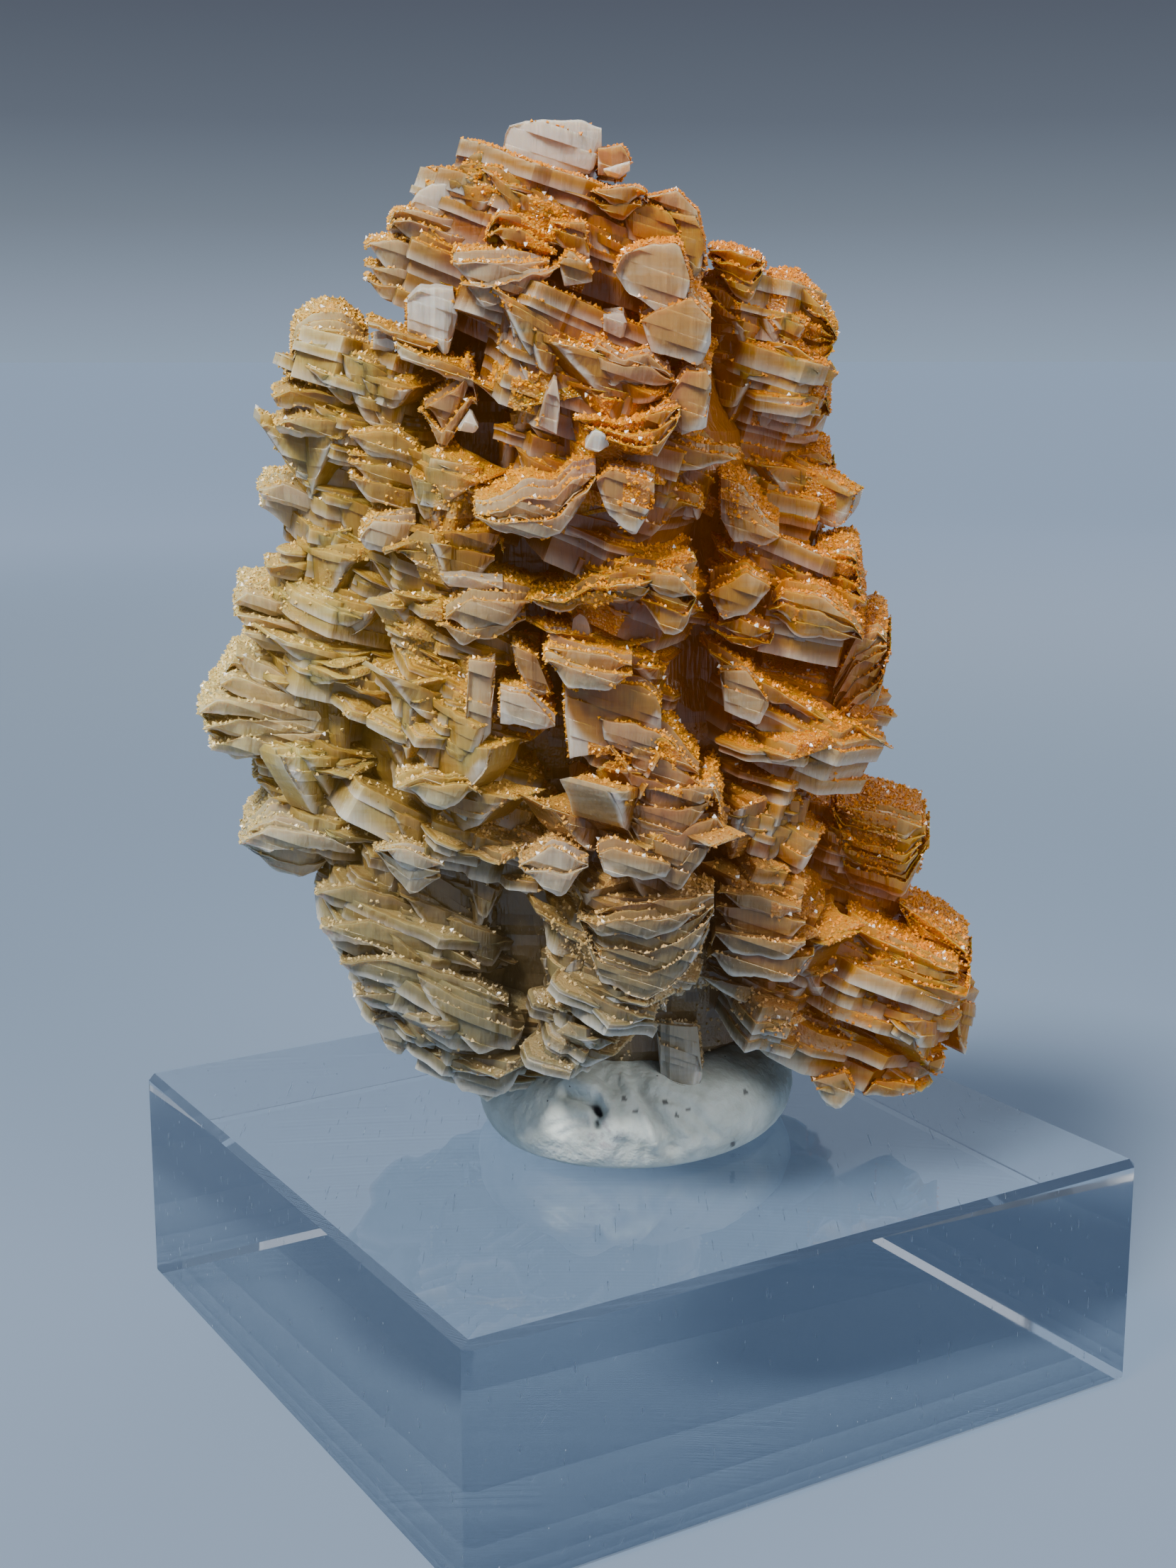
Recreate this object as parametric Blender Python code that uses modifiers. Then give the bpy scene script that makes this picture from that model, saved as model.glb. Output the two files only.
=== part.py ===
"""A wulfenite specimen: platy crystals grown together, held by putty on a clear square block.

Metres, +Z up. The origin is the centre of the block's underside and the axes are square to the block.
The crystals are laid out as the reference photograph shows them, so most of this file works in
millimetres in a frame turned to that view: X to its right, Y away from the viewer, Z up from the
block's top face. The last step turns that frame square to the block.
"""

import math
import random

import bmesh
import bpy
from mathutils import Matrix, Vector, noise

MM = 0.001

# The display block
BLOCK_SIDE = 38.0
BLOCK_HEIGHT = 12.0
BLOCK_BEVEL = 0.35
BLOCK_TURN = math.radians(31.24)  # how far the block is turned in the photograph

# The putty: a roll bent round and open at the back, as (x, y, radius of the roll) along its middle
PUTTY_PATH = [(-3.2, 3.6, 2.8), (-4.2, 0.8, 3.4), (-2.8, -3.4, 4.5), (0.8, -5.6, 4.1),
              (4.6, -3.8, 3.5), (6.2, 0.4, 3.9), (5.4, 4.4, 3.2)]
PUTTY_SQUASH = 0.72  # how far the roll is pressed flat
PUTTY_MIDDLE = 1.9  # height of its middle
GAP = 0.3  # left between pieces that touch

# The photograph: its size and focal length in pixels, and where it was taken from in millimetres
PHOTO_WIDTH = 1659
PHOTO_HEIGHT = 2212
FOCAL_PIXELS = 2903
VIEWPOINT = Vector((-1.4, -103.05, 39.08))
VIEW_PITCH = math.radians(11.67)

# The habit of the crystals
LEAN = 11.0  # degrees that the plates slope down outwards
TOP_LEAN = 1.0  # the same for the top ledge of a column, which lies flatter
LEAN_STEP = 4.0  # how much more each ledge below it leans
FLAT_ROW = 277  # a crystal that starts at this row lies level, and those above it slope inwards
LEAN_PER_ROW = 0.049
PLATE_WANDER = 6.0  # degrees that one plate may differ from the next
LEDGE_SIDES = 10
LEDGE_FOOT = 0.80  # size of a ledge's underside against its top
LEDGE_OVERLAP = 0.35
LEDGE_REACH = (0.90, 1.04)  # half width of a ledge against its column's outline
LEDGE_UNEVEN = 0.24
LEDGE_WAVES = 2.2  # how closely the uneven outline swings in and out
LEDGE_SHIFT = (0.5, 0.8)  # how far a ledge may stand off its column's middle, sideways and away
LEDGE_THICKNESS = (0.75, 1.3)  # against its column's thickness
LEDGE_DEPTH = (0.90, 1.08)  # half depth of a ledge against its column's
SQUARENESS = 2.6  # 2 would make a plate's outline an ellipse
BLADE_SIDES = 7
BLADE_RADIUS = (1.7, 3.2)
BLADE_SHARE = 0.8  # how many ledges of a back column carry a blade
BLADE_ANGLES = (20, 160)  # where on the far rim a blade sits
BLADE_PLACE = 0.8  # how far out it sits, against the ledge's half width and depth
BLADE_THICKNESS = (0.4, 0.9)  # against its ledge's thickness
BLADE_WAIST = (0.7, 1.1)  # its depth against its width
GROWTH_SEED = 41
ROW_STEP = 10  # rows over which a column's slope is measured

# The body that the columns share, as rings: row, left and right pixel, near and far depth
CORE_RINGS = [(265, 700, 880, -1.0, 4.0), (420, 600, 960, -3.0, 6.5), (700, 520, 1080, -5.0, 9.0),
              (1000, 500, 1120, -6.0, 9.5), (1250, 560, 1130, -6.0, 8.5), (1440, 640, 1060, -5.0, 6.5)]
CORE_SIDES = 8

# Columns of ledges. Each has the depth of its near and far side, the thickness of its ledges, the
# degrees that they dip to the right, and its outline from the top down as (pixel row, left pixel,
# right pixel) in the photograph.
COLUMNS = {
    "crown": (-8.5, 5.0, 2.3, 17, [
        (245, 690, 890), (275, 650, 940), (320, 590, 985), (370, 540, 1000), (420, 520, 1000),
        (456, 530, 1000)]),
    "front_column": (-12.5, 1.0, 2.2, 18, [
        (440, 640, 1000), (500, 660, 994), (560, 690, 1000), (620, 700, 993), (700, 706, 1000),
        (780, 735, 992), (850, 765, 981), (905, 800, 960)]),
    "left_shoulder": (-8.0, 5.0, 2.3, 13, [
        (500, 440, 640), (540, 420, 670), (590, 402, 700), (640, 412, 700), (700, 410, 690),
        (757, 414, 680), (800, 396, 670), (860, 400, 650), (930, 404, 640)]),
    "left_centre": (-11.5, 1.0, 2.1, 14, [
        (650, 590, 704), (700, 575, 706), (780, 560, 712), (850, 545, 746), (924, 540, 753),
        (1010, 555, 784), (1070, 565, 796), (1125, 560, 812), (1160, 560, 790)]),
    "left_fans": (-6.5, 5.0, 1.7, 11, [
        (905, 398, 560), (950, 380, 560), (1000, 364, 560), (1040, 368, 560), (1080, 386, 560),
        (1120, 410, 570), (1150, 434, 580)]),
    "lower_left": (-9.5, 4.0, 1.9, 24, [
        (1130, 450, 760), (1190, 430, 770), (1250, 448, 775), (1310, 470, 780), (1360, 490, 780),
        (1400, 525, 770), (1430, 590, 750)]),
    "lower_front": (-13.0, 2.0, 2.3, 20, [
        (925, 815, 905), (985, 805, 930), (1045, 805, 950), (1107, 812, 1002), (1150, 805, 1024),
        (1190, 790, 1024), (1240, 770, 1000), (1300, 760, 985), (1340, 752, 925), (1375, 745, 855)]),
    "upper_right": (-3.5, 6.0, 2.2, 15, [
        (405, 1000, 1115), (440, 990, 1150), (480, 980, 1172), (535, 980, 1142), (585, 980, 1166),
        (636, 980, 1150), (665, 970, 1170), (730, 970, 1158), (770, 970, 1160)]),
    "right_middle": (-9.0, 5.0, 2.2, 18, [
        (765, 1000, 1150), (800, 985, 1200), (845, 980, 1215), (892, 960, 1236), (925, 955, 1250),
        (985, 950, 1238), (1020, 960, 1192), (1050, 965, 1168)]),
    "right_lower": (-9.0, 4.0, 2.2, 16, [
        (1050, 960, 1150), (1110, 985, 1125), (1160, 1010, 1110), (1210, 1010, 1140),
        (1256, 1015, 1162), (1314, 1005, 1160), (1365, 985, 1122), (1400, 970, 1090)]),
    "lobe_upper": (-4.5, 5.0, 2.0, 16, [
        (1125, 1110, 1225), (1160, 1100, 1295), (1195, 1095, 1308), (1250, 1090, 1278),
        (1300, 1080, 1300)]),
    "lobe_lower": (-8.0, 4.0, 1.9, 23, [
        (1290, 1090, 1305), (1330, 1075, 1352), (1370, 1050, 1362), (1410, 1020, 1356),
        (1440, 1005, 1335)]),
    "back_crown": (0.5, 8.5, 2.5, 14, [
        (280, 660, 860), (330, 610, 900), (400, 600, 910), (470, 610, 900)]),
    "back_crown_right": (0.0, 8.0, 2.4, 12, [
        (345, 840, 985), (420, 820, 1000), (500, 820, 1000)]),
    "back_left": (2.0, 11.0, 2.6, 16, [
        (520, 480, 680), (600, 450, 700), (700, 440, 690), (790, 450, 680), (860, 440, 660)]),
    "back_centre": (4.0, 13.0, 2.7, 13, [
        (500, 660, 900), (600, 640, 930), (720, 650, 940), (840, 640, 930), (950, 660, 920),
        (1050, 680, 900)]),
    "back_right": (2.5, 11.5, 2.6, 15, [
        (480, 900, 1080), (580, 900, 1110), (690, 890, 1120), (780, 900, 1130), (880, 920, 1160),
        (960, 940, 1180), (1040, 950, 1170)]),
    "back_low_left": (1.0, 10.5, 2.5, 18, [
        (900, 420, 640), (980, 400, 660), (1080, 420, 670), (1180, 450, 680), (1290, 500, 690),
        (1370, 550, 690)]),
    "back_low_centre": (3.0, 12.0, 2.7, 14, [
        (1080, 660, 900), (1180, 650, 920), (1290, 660, 920), (1390, 680, 900)]),
    "back_low_right": (1.0, 10.0, 2.5, 17, [
        (1050, 900, 1110), (1140, 880, 1150), (1230, 890, 1170), (1320, 880, 1180), (1400, 890, 1170)]),
}

# Single crystals that stand out: the depth of the near face, the crystal's length away from the
# viewer, and the outline of its near face in pixels of the photograph.
CRYSTALS = {
    "top_block": (-5.0, 6.0, [(715, 181), (747, 173), (819, 171), (850, 183), (850, 205), (834, 246),
                              (741, 246), (706, 229)]),
    "top_plate": (-7.5, 6.0, [(664, 252), (669, 237), (699, 233), (773, 255), (789, 300), (750, 293),
                              (725, 272), (664, 262)]),
    "cube": (-5.0, 4.0, [(843, 211), (879, 205), (889, 229), (873, 251), (843, 246)]),
    "pale_block": (-6.0, 5.0, [(579, 290), (590, 270), (610, 260), (664, 260), (676, 275), (660, 303),
                               (620, 312), (582, 305)]),
    "grey_block": (-8.8, 5.0, [(828, 270), (894, 262), (912, 272), (912, 306), (879, 309), (843, 303)]),
    "right_face": (-7.5, 5.0, [(912, 280), (955, 270), (985, 300), (996, 380), (981, 423), (955, 341)]),
    "mauve_block": (-7.0, 6.0, [(548, 318), (554, 300), (579, 295), (656, 316), (702, 306), (684, 339),
                                (648, 367), (582, 350), (548, 339)]),
    "left_mauve_blade": (-6.5, 6.0, [(498, 388), (506, 359), (521, 344), (564, 341), (643, 369),
                                     (656, 392), (643, 405), (577, 428), (531, 420)]),
    "square_blade": (-8.5, 4.0, [(574, 425), (592, 405), (641, 409), (646, 451), (630, 507), (608, 480),
                                 (574, 471)]),
    "upper_bulge": (-10.5, 5.0, [(689, 323), (702, 301), (733, 306), (799, 352), (786, 376), (748, 350),
                                 (684, 345)]),
    "dark_block": (-10.0, 5.0, [(776, 313), (830, 316), (832, 367), (799, 356), (776, 335)]),
    "big_apron": (-12.0, 6.0, [(638, 372), (735, 372), (776, 367), (789, 376), (776, 395), (738, 408),
                               (704, 425), (682, 431), (643, 418)]),
    "front_blade": (-12.8, 6.0, [(868, 387), (879, 362), (919, 344), (958, 346), (974, 397), (965, 448),
                                 (927, 438), (884, 408)]),
    "striated_wall": (-13.0, 5.0, [(927, 440), (976, 420), (1004, 455), (1004, 484), (991, 513),
                                   (960, 508), (917, 494), (905, 455)]),
    "edge_wall": (-12.6, 4.0, [(965, 524), (997, 524), (1004, 538), (1002, 566), (996, 603), (962, 612),
                               (940, 570)]),
    "torn_blade": (-13.2, 2.5, [(822, 511), (843, 486), (879, 509), (912, 500), (960, 544), (940, 550),
                                (879, 534), (866, 542), (832, 530)]),
    "bed_block": (-13.8, 6.0, [(810, 590), (876, 600), (961, 572), (958, 602), (927, 641), (894, 639),
                               (863, 626), (815, 612)]),
    "pentagon_blade": (-14.2, 4.5, [(840, 680), (863, 662), (924, 682), (923, 712), (896, 759),
                                    (856, 723)]),
    "shelf_apron": (-14.6, 7.0, [(669, 728), (705, 725), (743, 705), (781, 706), (809, 676), (842, 672),
                                 (828, 705), (789, 754), (740, 756), (697, 745)]),
    "deep_apron": (-13.6, 6.0, [(743, 845), (799, 850), (837, 828), (898, 824), (955, 811), (930, 838),
                                (865, 848), (789, 858)]),
    "corner_wall": (-13.4, 5.0, [(898, 811), (955, 811), (983, 844), (967, 903), (944, 893), (898, 862)]),
    "small_point": (-12.0, 2.0, [(804, 908), (809, 872), (819, 865), (830, 875), (836, 916)]),
    "ledge_plate": (-14.6, 6.0, [(761, 931), (776, 913), (855, 927), (901, 944), (906, 962), (855, 974),
                                 (804, 969), (763, 948)]),
    "tall_wall": (-13.4, 5.0, [(796, 964), (906, 966), (932, 985), (934, 1028), (880, 1060), (799, 1071)]),
    "mauve_blade": (-13.8, 4.0, [(845, 1015), (906, 1026), (939, 1041), (929, 1070), (901, 1064),
                                 (853, 1050)]),
    "diagonal_blade": (-14.0, 5.0, [(858, 1051), (939, 1041), (1000, 1107), (1000, 1135), (957, 1132),
                                    (893, 1109)]),
    "rounded_block": (-14.2, 7.0, [(872, 1150), (901, 1113), (1010, 1113), (1027, 1180), (978, 1222),
                                   (960, 1252), (907, 1230)]),
    "rim_block": (-14.8, 5.0, [(844, 1205), (869, 1199), (947, 1222), (944, 1236), (907, 1243),
                               (848, 1230)]),
    "clear_block": (-13.8, 4.0, [(734, 1222), (777, 1194), (831, 1222), (803, 1254), (789, 1262),
                                 (740, 1243)]),
    "olive_block": (-14.0, 7.0, [(815, 1294), (884, 1274), (973, 1268), (1008, 1262), (1009, 1303),
                                 (990, 1345), (947, 1389), (912, 1409), (844, 1383)]),
    "tilted_plate": (-12.6, 3.0, [(722, 909), (756, 926), (778, 980), (753, 982), (728, 941)]),
    "pale_rounded": (-13.2, 5.0, [(705, 974), (743, 980), (784, 1023), (753, 1030), (705, 1018)]),
    "grey_prism": (-12.4, 4.0, [(661, 931), (699, 934), (697, 1031), (679, 1051), (655, 1046)]),
    "left_tile": (-12.6, 5.0, [(615, 880), (664, 847), (748, 849), (749, 877), (720, 893), (651, 905)]),
    "tan_shelf": (-12.2, 5.0, [(560, 1112), (600, 1093), (660, 1098), (680, 1122), (630, 1140),
                               (575, 1134)]),
    "left_block": (-7.0, 5.0, [(405, 522), (418, 478), (440, 464), (480, 468), (521, 485), (497, 535),
                               (405, 545)]),
    "left_wall": (-9.5, 6.0, [(480, 613), (557, 608), (587, 629), (623, 677), (646, 705), (623, 723),
                              (569, 718), (480, 690)]),
    "mauve_wall": (-10.0, 5.0, [(592, 578), (643, 552), (664, 524), (674, 572), (643, 608), (623, 639)]),
    "hanging_apron": (-10.5, 4.0, [(508, 759), (526, 736), (587, 738), (577, 756), (541, 779),
                                   (518, 777)]),
    "left_knob": (-4.0, 4.0, [(368, 716), (371, 689), (407, 683), (445, 700), (450, 735), (410, 748)]),
    "upper_fan": (-5.0, 5.0, [(334, 842), (393, 837), (455, 855), (470, 885), (455, 905), (403, 926),
                              (345, 900), (330, 869)]),
    "middle_fan": (-5.5, 5.0, [(290, 1000), (306, 968), (330, 925), (403, 925), (474, 970), (430, 1006)]),
    "lemon_fan": (-6.0, 5.0, [(279, 1007), (300, 985), (400, 985), (455, 1035), (410, 1062), (330, 1068),
                              (292, 1040)]),
    "left_lump": (-5.5, 5.0, [(346, 1104), (364, 1085), (460, 1090), (480, 1135), (423, 1146),
                              (385, 1130)]),
    "cream_blade": (-6.5, 6.0, [(339, 1192), (382, 1149), (430, 1152), (480, 1183), (459, 1223),
                                (425, 1236), (390, 1230)]),
    "glitter_plate": (-10.4, 4.0, [(528, 1200), (574, 1198), (634, 1226), (617, 1248), (577, 1257)]),
    "wedge": (-4.0, 5.0, [(1001, 354), (1032, 354), (1080, 369), (1078, 395), (1060, 433), (1001, 388)]),
    "lower_wedge": (-3.6, 4.0, [(991, 405), (1019, 410), (1078, 454), (1044, 466), (1000, 430)]),
    "right_knob": (-2.0, 6.0, [(1077, 400), (1093, 396), (1123, 398), (1159, 432), (1182, 478),
                               (1169, 509), (1146, 533), (1085, 490)]),
    "right_bulge": (-2.0, 6.0, [(1100, 550), (1148, 538), (1167, 553), (1171, 588), (1155, 607),
                                (1095, 605)]),
    "right_swell": (-2.5, 6.0, [(1095, 650), (1154, 638), (1178, 662), (1174, 705), (1158, 735),
                                (1095, 725)]),
    "trapezoid": (-9.6, 5.0, [(1016, 692), (1049, 697), (1083, 748), (1100, 759), (1078, 770),
                              (1034, 763), (1016, 730)]),
    "right_block": (-7.0, 6.0, [(1146, 789), (1184, 780), (1207, 785), (1221, 852), (1205, 872),
                                (1146, 830)]),
    "triangular_blade": (-10.2, 5.0, [(1001, 838), (1053, 809), (1087, 829), (1055, 867), (1019, 872)]),
    "wide_apron": (-9.8, 6.0, [(1077, 863), (1106, 834), (1160, 843), (1207, 883), (1218, 905),
                               (1129, 895)]),
    "second_apron": (-10.0, 5.0, [(1001, 885), (1044, 874), (1093, 892), (1088, 914), (1024, 905)]),
    "right_bulk": (-7.0, 8.0, [(1207, 901), (1240, 890), (1258, 916), (1251, 941), (1242, 990),
                               (1196, 1026), (1164, 1040), (1175, 972)]),
    "polygon_blade": (-10.6, 5.0, [(1015, 948), (1055, 948), (1085, 995), (1070, 1026), (1021, 1003)]),
    "hanging_block": (-8.0, 4.0, [(1098, 1112), (1133, 1118), (1128, 1160), (1105, 1152)]),
    "lobe_cap": (-5.0, 7.0, [(1173, 1138), (1254, 1148), (1308, 1170), (1313, 1192), (1275, 1264),
                             (1190, 1235)]),
    "lobe_slab": (-7.6, 7.0, [(1177, 1316), (1187, 1304), (1254, 1331), (1322, 1361), (1371, 1377),
                              (1366, 1418), (1288, 1404), (1241, 1390)]),
    "lobe_lip": (-4.5, 6.0, [(1268, 1274), (1308, 1300), (1372, 1352), (1366, 1377), (1300, 1352)]),
    "lobe_drip": (-7.5, 4.0, [(1146, 1525), (1193, 1515), (1206, 1544), (1183, 1564), (1162, 1556)]),
    "lobe_corner": (-5.5, 4.0, [(1240, 1505), (1325, 1495), (1329, 1512), (1291, 1522), (1280, 1540),
                                (1240, 1543)]),
    "gap_crystal": (-7.0, 4.0, [(925, 1445), (985, 1450), (991, 1520), (978, 1548), (955, 1544),
                                (930, 1520)]),
    "left_drip": (-8.5, 4.0, [(528, 1440), (585, 1430), (583, 1466), (564, 1488), (545, 1480)]),
    "low_drip": (-9.0, 5.0, [(604, 1500), (620, 1460), (720, 1450), (760, 1500), (700, 1545),
                             (635, 1538)]),
}


def seen(column, row, depth):
    """The point at this depth, in millimetres, that shows at this pixel of the photograph."""
    across = (column - PHOTO_WIDTH / 2) / FOCAL_PIXELS
    up = (PHOTO_HEIGHT / 2 - row) / FOCAL_PIXELS
    cos_pitch = math.cos(VIEW_PITCH)
    sin_pitch = math.sin(VIEW_PITCH)
    ray = Vector((across, cos_pitch + up * sin_pitch, up * cos_pitch - sin_pitch))
    return VIEWPOINT + ray * ((depth - VIEWPOINT.y) / ray.y)


def to_block_frame():
    """Turns millimetres of the view's frame into metres of the block's frame."""
    lift = Matrix.Translation((0, 0, BLOCK_HEIGHT * MM))
    return lift @ Matrix.Rotation(-BLOCK_TURN, 4, "Z") @ Matrix.Scale(MM, 4)


def clear_scene():
    for scene_object in list(bpy.data.objects):
        bpy.data.objects.remove(scene_object, do_unlink=True)


def new_collection(name):
    collection = bpy.data.collections.new(name)
    bpy.context.scene.collection.children.link(collection)
    return collection


def material(name, color, roughness, alpha=1.0):
    finish = bpy.data.materials.new(name)
    finish.use_nodes = True
    shader = finish.node_tree.nodes["Principled BSDF"]
    shader.inputs["Base Color"].default_value = (*color, 1)
    shader.inputs["Roughness"].default_value = roughness
    shader.inputs["Metallic"].default_value = 0
    shader.inputs["Alpha"].default_value = alpha
    return finish


def add_object(name, bm, collection, finish=None):
    """Turns a bmesh in the block's frame into an object of the collection."""
    bmesh.ops.recalc_face_normals(bm, faces=bm.faces)
    mesh = bpy.data.meshes.new(name)
    bm.to_mesh(mesh)
    bm.free()
    scene_object = bpy.data.objects.new(name, mesh)
    collection.objects.link(scene_object)
    if finish:
        mesh.materials.append(finish)
    return scene_object


def hide_cutter(cutter):
    cutter.hide_render = True
    cutter.display_type = "WIRE"


def outline_at(rows, row):
    """Left and right pixel of a column's outline at this row, between the rows that are given."""
    for upper, lower in zip(rows, rows[1:]):
        if row <= lower[0]:
            share = (row - upper[0]) / (lower[0] - upper[0])
            return (upper[1] + share * (lower[1] - upper[1]), upper[2] + share * (lower[2] - upper[2]))
    return rows[-1][1:]


def plate_turn(dip, outward, chance):
    """The turn of a plate: it dips to the right and slopes down outwards, each a little its own way."""
    lean = outward + chance.uniform(-PLATE_WANDER, PLATE_WANDER)
    dip = dip + chance.uniform(-PLATE_WANDER, PLATE_WANDER)
    return Matrix.Rotation(math.radians(lean), 4, "X") @ Matrix.Rotation(math.radians(dip), 4, "Y")


def rows_over(height, row, depth):
    """How many rows of the photograph this height covers, from this row down."""
    return ROW_STEP * height / (seen(0, row, depth).z - seen(0, row + ROW_STEP, depth).z)


def ledges(near, far, thickness, rows, chance):
    """Centre, half width, half depth and thickness of each ledge of a column, from the top down."""
    middle = (near + far) / 2
    step = thickness * chance.uniform(*LEDGE_THICKNESS)
    row = rows[0][0] + rows_over(step / 2, rows[0][0], middle)
    found = []
    while row <= rows[-1][0]:
        left, right = outline_at(rows, row)
        left_point = seen(left, row, middle)
        right_point = seen(right, row, middle)
        reach = chance.uniform(*LEDGE_REACH)
        centre = (left_point + right_point) / 2
        centre.x += chance.uniform(-1, 1) * LEDGE_SHIFT[0]
        centre.y += chance.uniform(-1, 1) * LEDGE_SHIFT[1]
        half_width = (right_point.x - left_point.x) / 2 * reach
        half_depth = (far - near) / 2 * chance.uniform(*LEDGE_DEPTH)
        found.append((centre, half_width, half_depth, step))
        row += rows_over(step, row, middle)
        step = thickness * chance.uniform(*LEDGE_THICKNESS)
    return found


def plate_mesh(centre, half_width, half_depth, thickness, sides, dip, outward, chance):
    """One thick plate with an uneven rounded outline, narrower at its foot."""
    bm = bmesh.new()
    bmesh.ops.create_cone(bm, cap_ends=True, segments=sides, radius1=LEDGE_FOOT, radius2=1,
                          depth=thickness + LEDGE_OVERLAP)
    turn = chance.uniform(0, math.tau)
    offset = chance.uniform(0, 100)
    for vertex in bm.verts:
        reach = math.hypot(vertex.co.x, vertex.co.y)
        angle = math.atan2(vertex.co.y, vertex.co.x) + turn
        across = math.cos(angle)
        away = math.sin(angle)
        square = (abs(across) ** SQUARENESS + abs(away) ** SQUARENESS) ** (-1 / SQUARENESS)
        uneven = 1 + LEDGE_UNEVEN * noise.noise((LEDGE_WAVES * across + offset, LEDGE_WAVES * away, 0))
        vertex.co.x = across * reach * half_width * square * uneven
        vertex.co.y = away * reach * half_depth * square * uneven
    bm.transform(Matrix.Translation(centre) @ plate_turn(dip, outward, chance))
    return bm


def blade_mesh(centre, half_width, half_depth, thickness, dip, chance):
    """A small blade on the far rim of a ledge of the back."""
    angle = math.radians(chance.uniform(*BLADE_ANGLES))
    radius = chance.uniform(*BLADE_RADIUS)
    across = math.cos(angle) * half_width * BLADE_PLACE
    away = math.sin(angle) * half_depth * BLADE_PLACE
    rise = chance.uniform(-0.5, 0.5) * thickness
    thick = thickness * chance.uniform(*BLADE_THICKNESS)
    waist = radius * chance.uniform(*BLADE_WAIST)
    place = centre + Vector((across, away, rise))
    return plate_mesh(place, radius, waist, thick, BLADE_SIDES, dip, -LEAN, chance)


def crystal_mesh(near, length, outline):
    """One crystal: its near face as outlined, carried back and up along the plates' slope."""
    bm = bmesh.new()
    corners = [bm.verts.new(seen(column, row, near)) for column, row in outline]
    face = bm.faces.new(corners)
    grown = bmesh.ops.extrude_face_region(bm, geom=[face])
    back = [part for part in grown["geom"] if isinstance(part, bmesh.types.BMVert)]
    top_row = min(row for _, row in outline)
    slope = min(LEAN, (top_row - FLAT_ROW) * LEAN_PER_ROW)
    rise = math.tan(math.radians(slope)) * length
    bmesh.ops.translate(bm, verts=back, vec=(0, length, rise))
    return bm


def core_mesh():
    """A loft through the rings inside the columns' outline."""
    bm = bmesh.new()
    loops = []
    for row, left, right, near, far in CORE_RINGS:
        middle = (near + far) / 2
        left_point = seen(left, row, middle)
        right_point = seen(right, row, middle)
        centre = (left_point + right_point) / 2
        loop = []
        for k in range(CORE_SIDES):
            angle = (k + 0.5) * math.tau / CORE_SIDES
            across = math.cos(angle) * (right_point.x - left_point.x) / 2
            away = math.sin(angle) * (far - near) / 2
            loop.append(bm.verts.new(centre + Vector((across, away, 0))))
        loops.append(loop)
    for upper, lower in zip(loops, loops[1:]):
        for k in range(CORE_SIDES):
            n = (k + 1) % CORE_SIDES
            bm.faces.new((upper[k], upper[n], lower[n], lower[k]))
    bm.faces.new(loops[0])
    bm.faces.new(loops[-1])
    return bm


def putty_mesh(swell):
    """The roll of putty as one tube, pressed flat; swell is added all round."""
    curve = bpy.data.curves.new("putty_route", "CURVE")
    curve.dimensions = "3D"
    curve.resolution_u = 3
    curve.bevel_depth = 1
    curve.bevel_resolution = 2
    curve.use_fill_caps = True
    spline = curve.splines.new("NURBS")
    spline.points.add(len(PUTTY_PATH) - 1)
    spline.order_u = 4
    spline.use_endpoint_u = True
    for point, (x, y, radius) in zip(spline.points, PUTTY_PATH):
        point.co = (x, y, 0, 1)
        point.radius = radius + swell
    route = bpy.data.objects.new("putty_route", curve)
    bpy.context.scene.collection.objects.link(route)
    bpy.context.view_layer.update()
    tube = bpy.data.meshes.new_from_object(route.evaluated_get(bpy.context.evaluated_depsgraph_get()))
    bpy.data.objects.remove(route)
    bm = bmesh.new()
    bm.from_mesh(tube)
    bmesh.ops.remove_doubles(bm, verts=bm.verts, dist=0.001)
    floor = GAP - swell
    for vertex in bm.verts:
        vertex.co.z = max(vertex.co.z * PUTTY_SQUASH + PUTTY_MIDDLE, floor)
    bmesh.ops.remove_doubles(bm, verts=bm.verts, dist=0.02)
    return bm


def build_block(collection):
    finish = material("clear_acrylic", (0.86, 0.90, 0.93), 0.05, 0.35)
    bm = bmesh.new()
    bmesh.ops.create_cube(bm, size=1)
    bmesh.ops.scale(bm, vec=(BLOCK_SIDE * MM, BLOCK_SIDE * MM, BLOCK_HEIGHT * MM), verts=bm.verts)
    bmesh.ops.translate(bm, vec=(0, 0, BLOCK_HEIGHT * MM / 2), verts=bm.verts)
    block = add_object("acrylic_block", bm, collection, finish)
    bevel = block.modifiers.new("polished edges", "BEVEL")
    bevel.width = BLOCK_BEVEL * MM
    bevel.segments = 1
    return block


def build_putty(collection):
    finish = material("grey_putty", (0.62, 0.66, 0.62), 0.8)
    bm = putty_mesh(0)
    bm.transform(to_block_frame())
    return add_object("mounting_putty", bm, collection, finish)


def keep_largest_shell(bm):
    """Removes the closed pockets that ledges leave between them inside the mass."""
    unseen = set(bm.verts)
    shells = []
    while unseen:
        shell = set()
        waiting = [unseen.pop()]
        while waiting:
            vertex = waiting.pop()
            shell.add(vertex)
            for edge in vertex.link_edges:
                other = edge.other_vert(vertex)
                if other in unseen:
                    unseen.remove(other)
                    waiting.append(other)
        shells.append(shell)
    largest = max(shells, key=len)
    spare = [vertex for shell in shells if shell is not largest for vertex in shell]
    bmesh.ops.delete(bm, geom=spare, context="VERTS")


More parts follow.
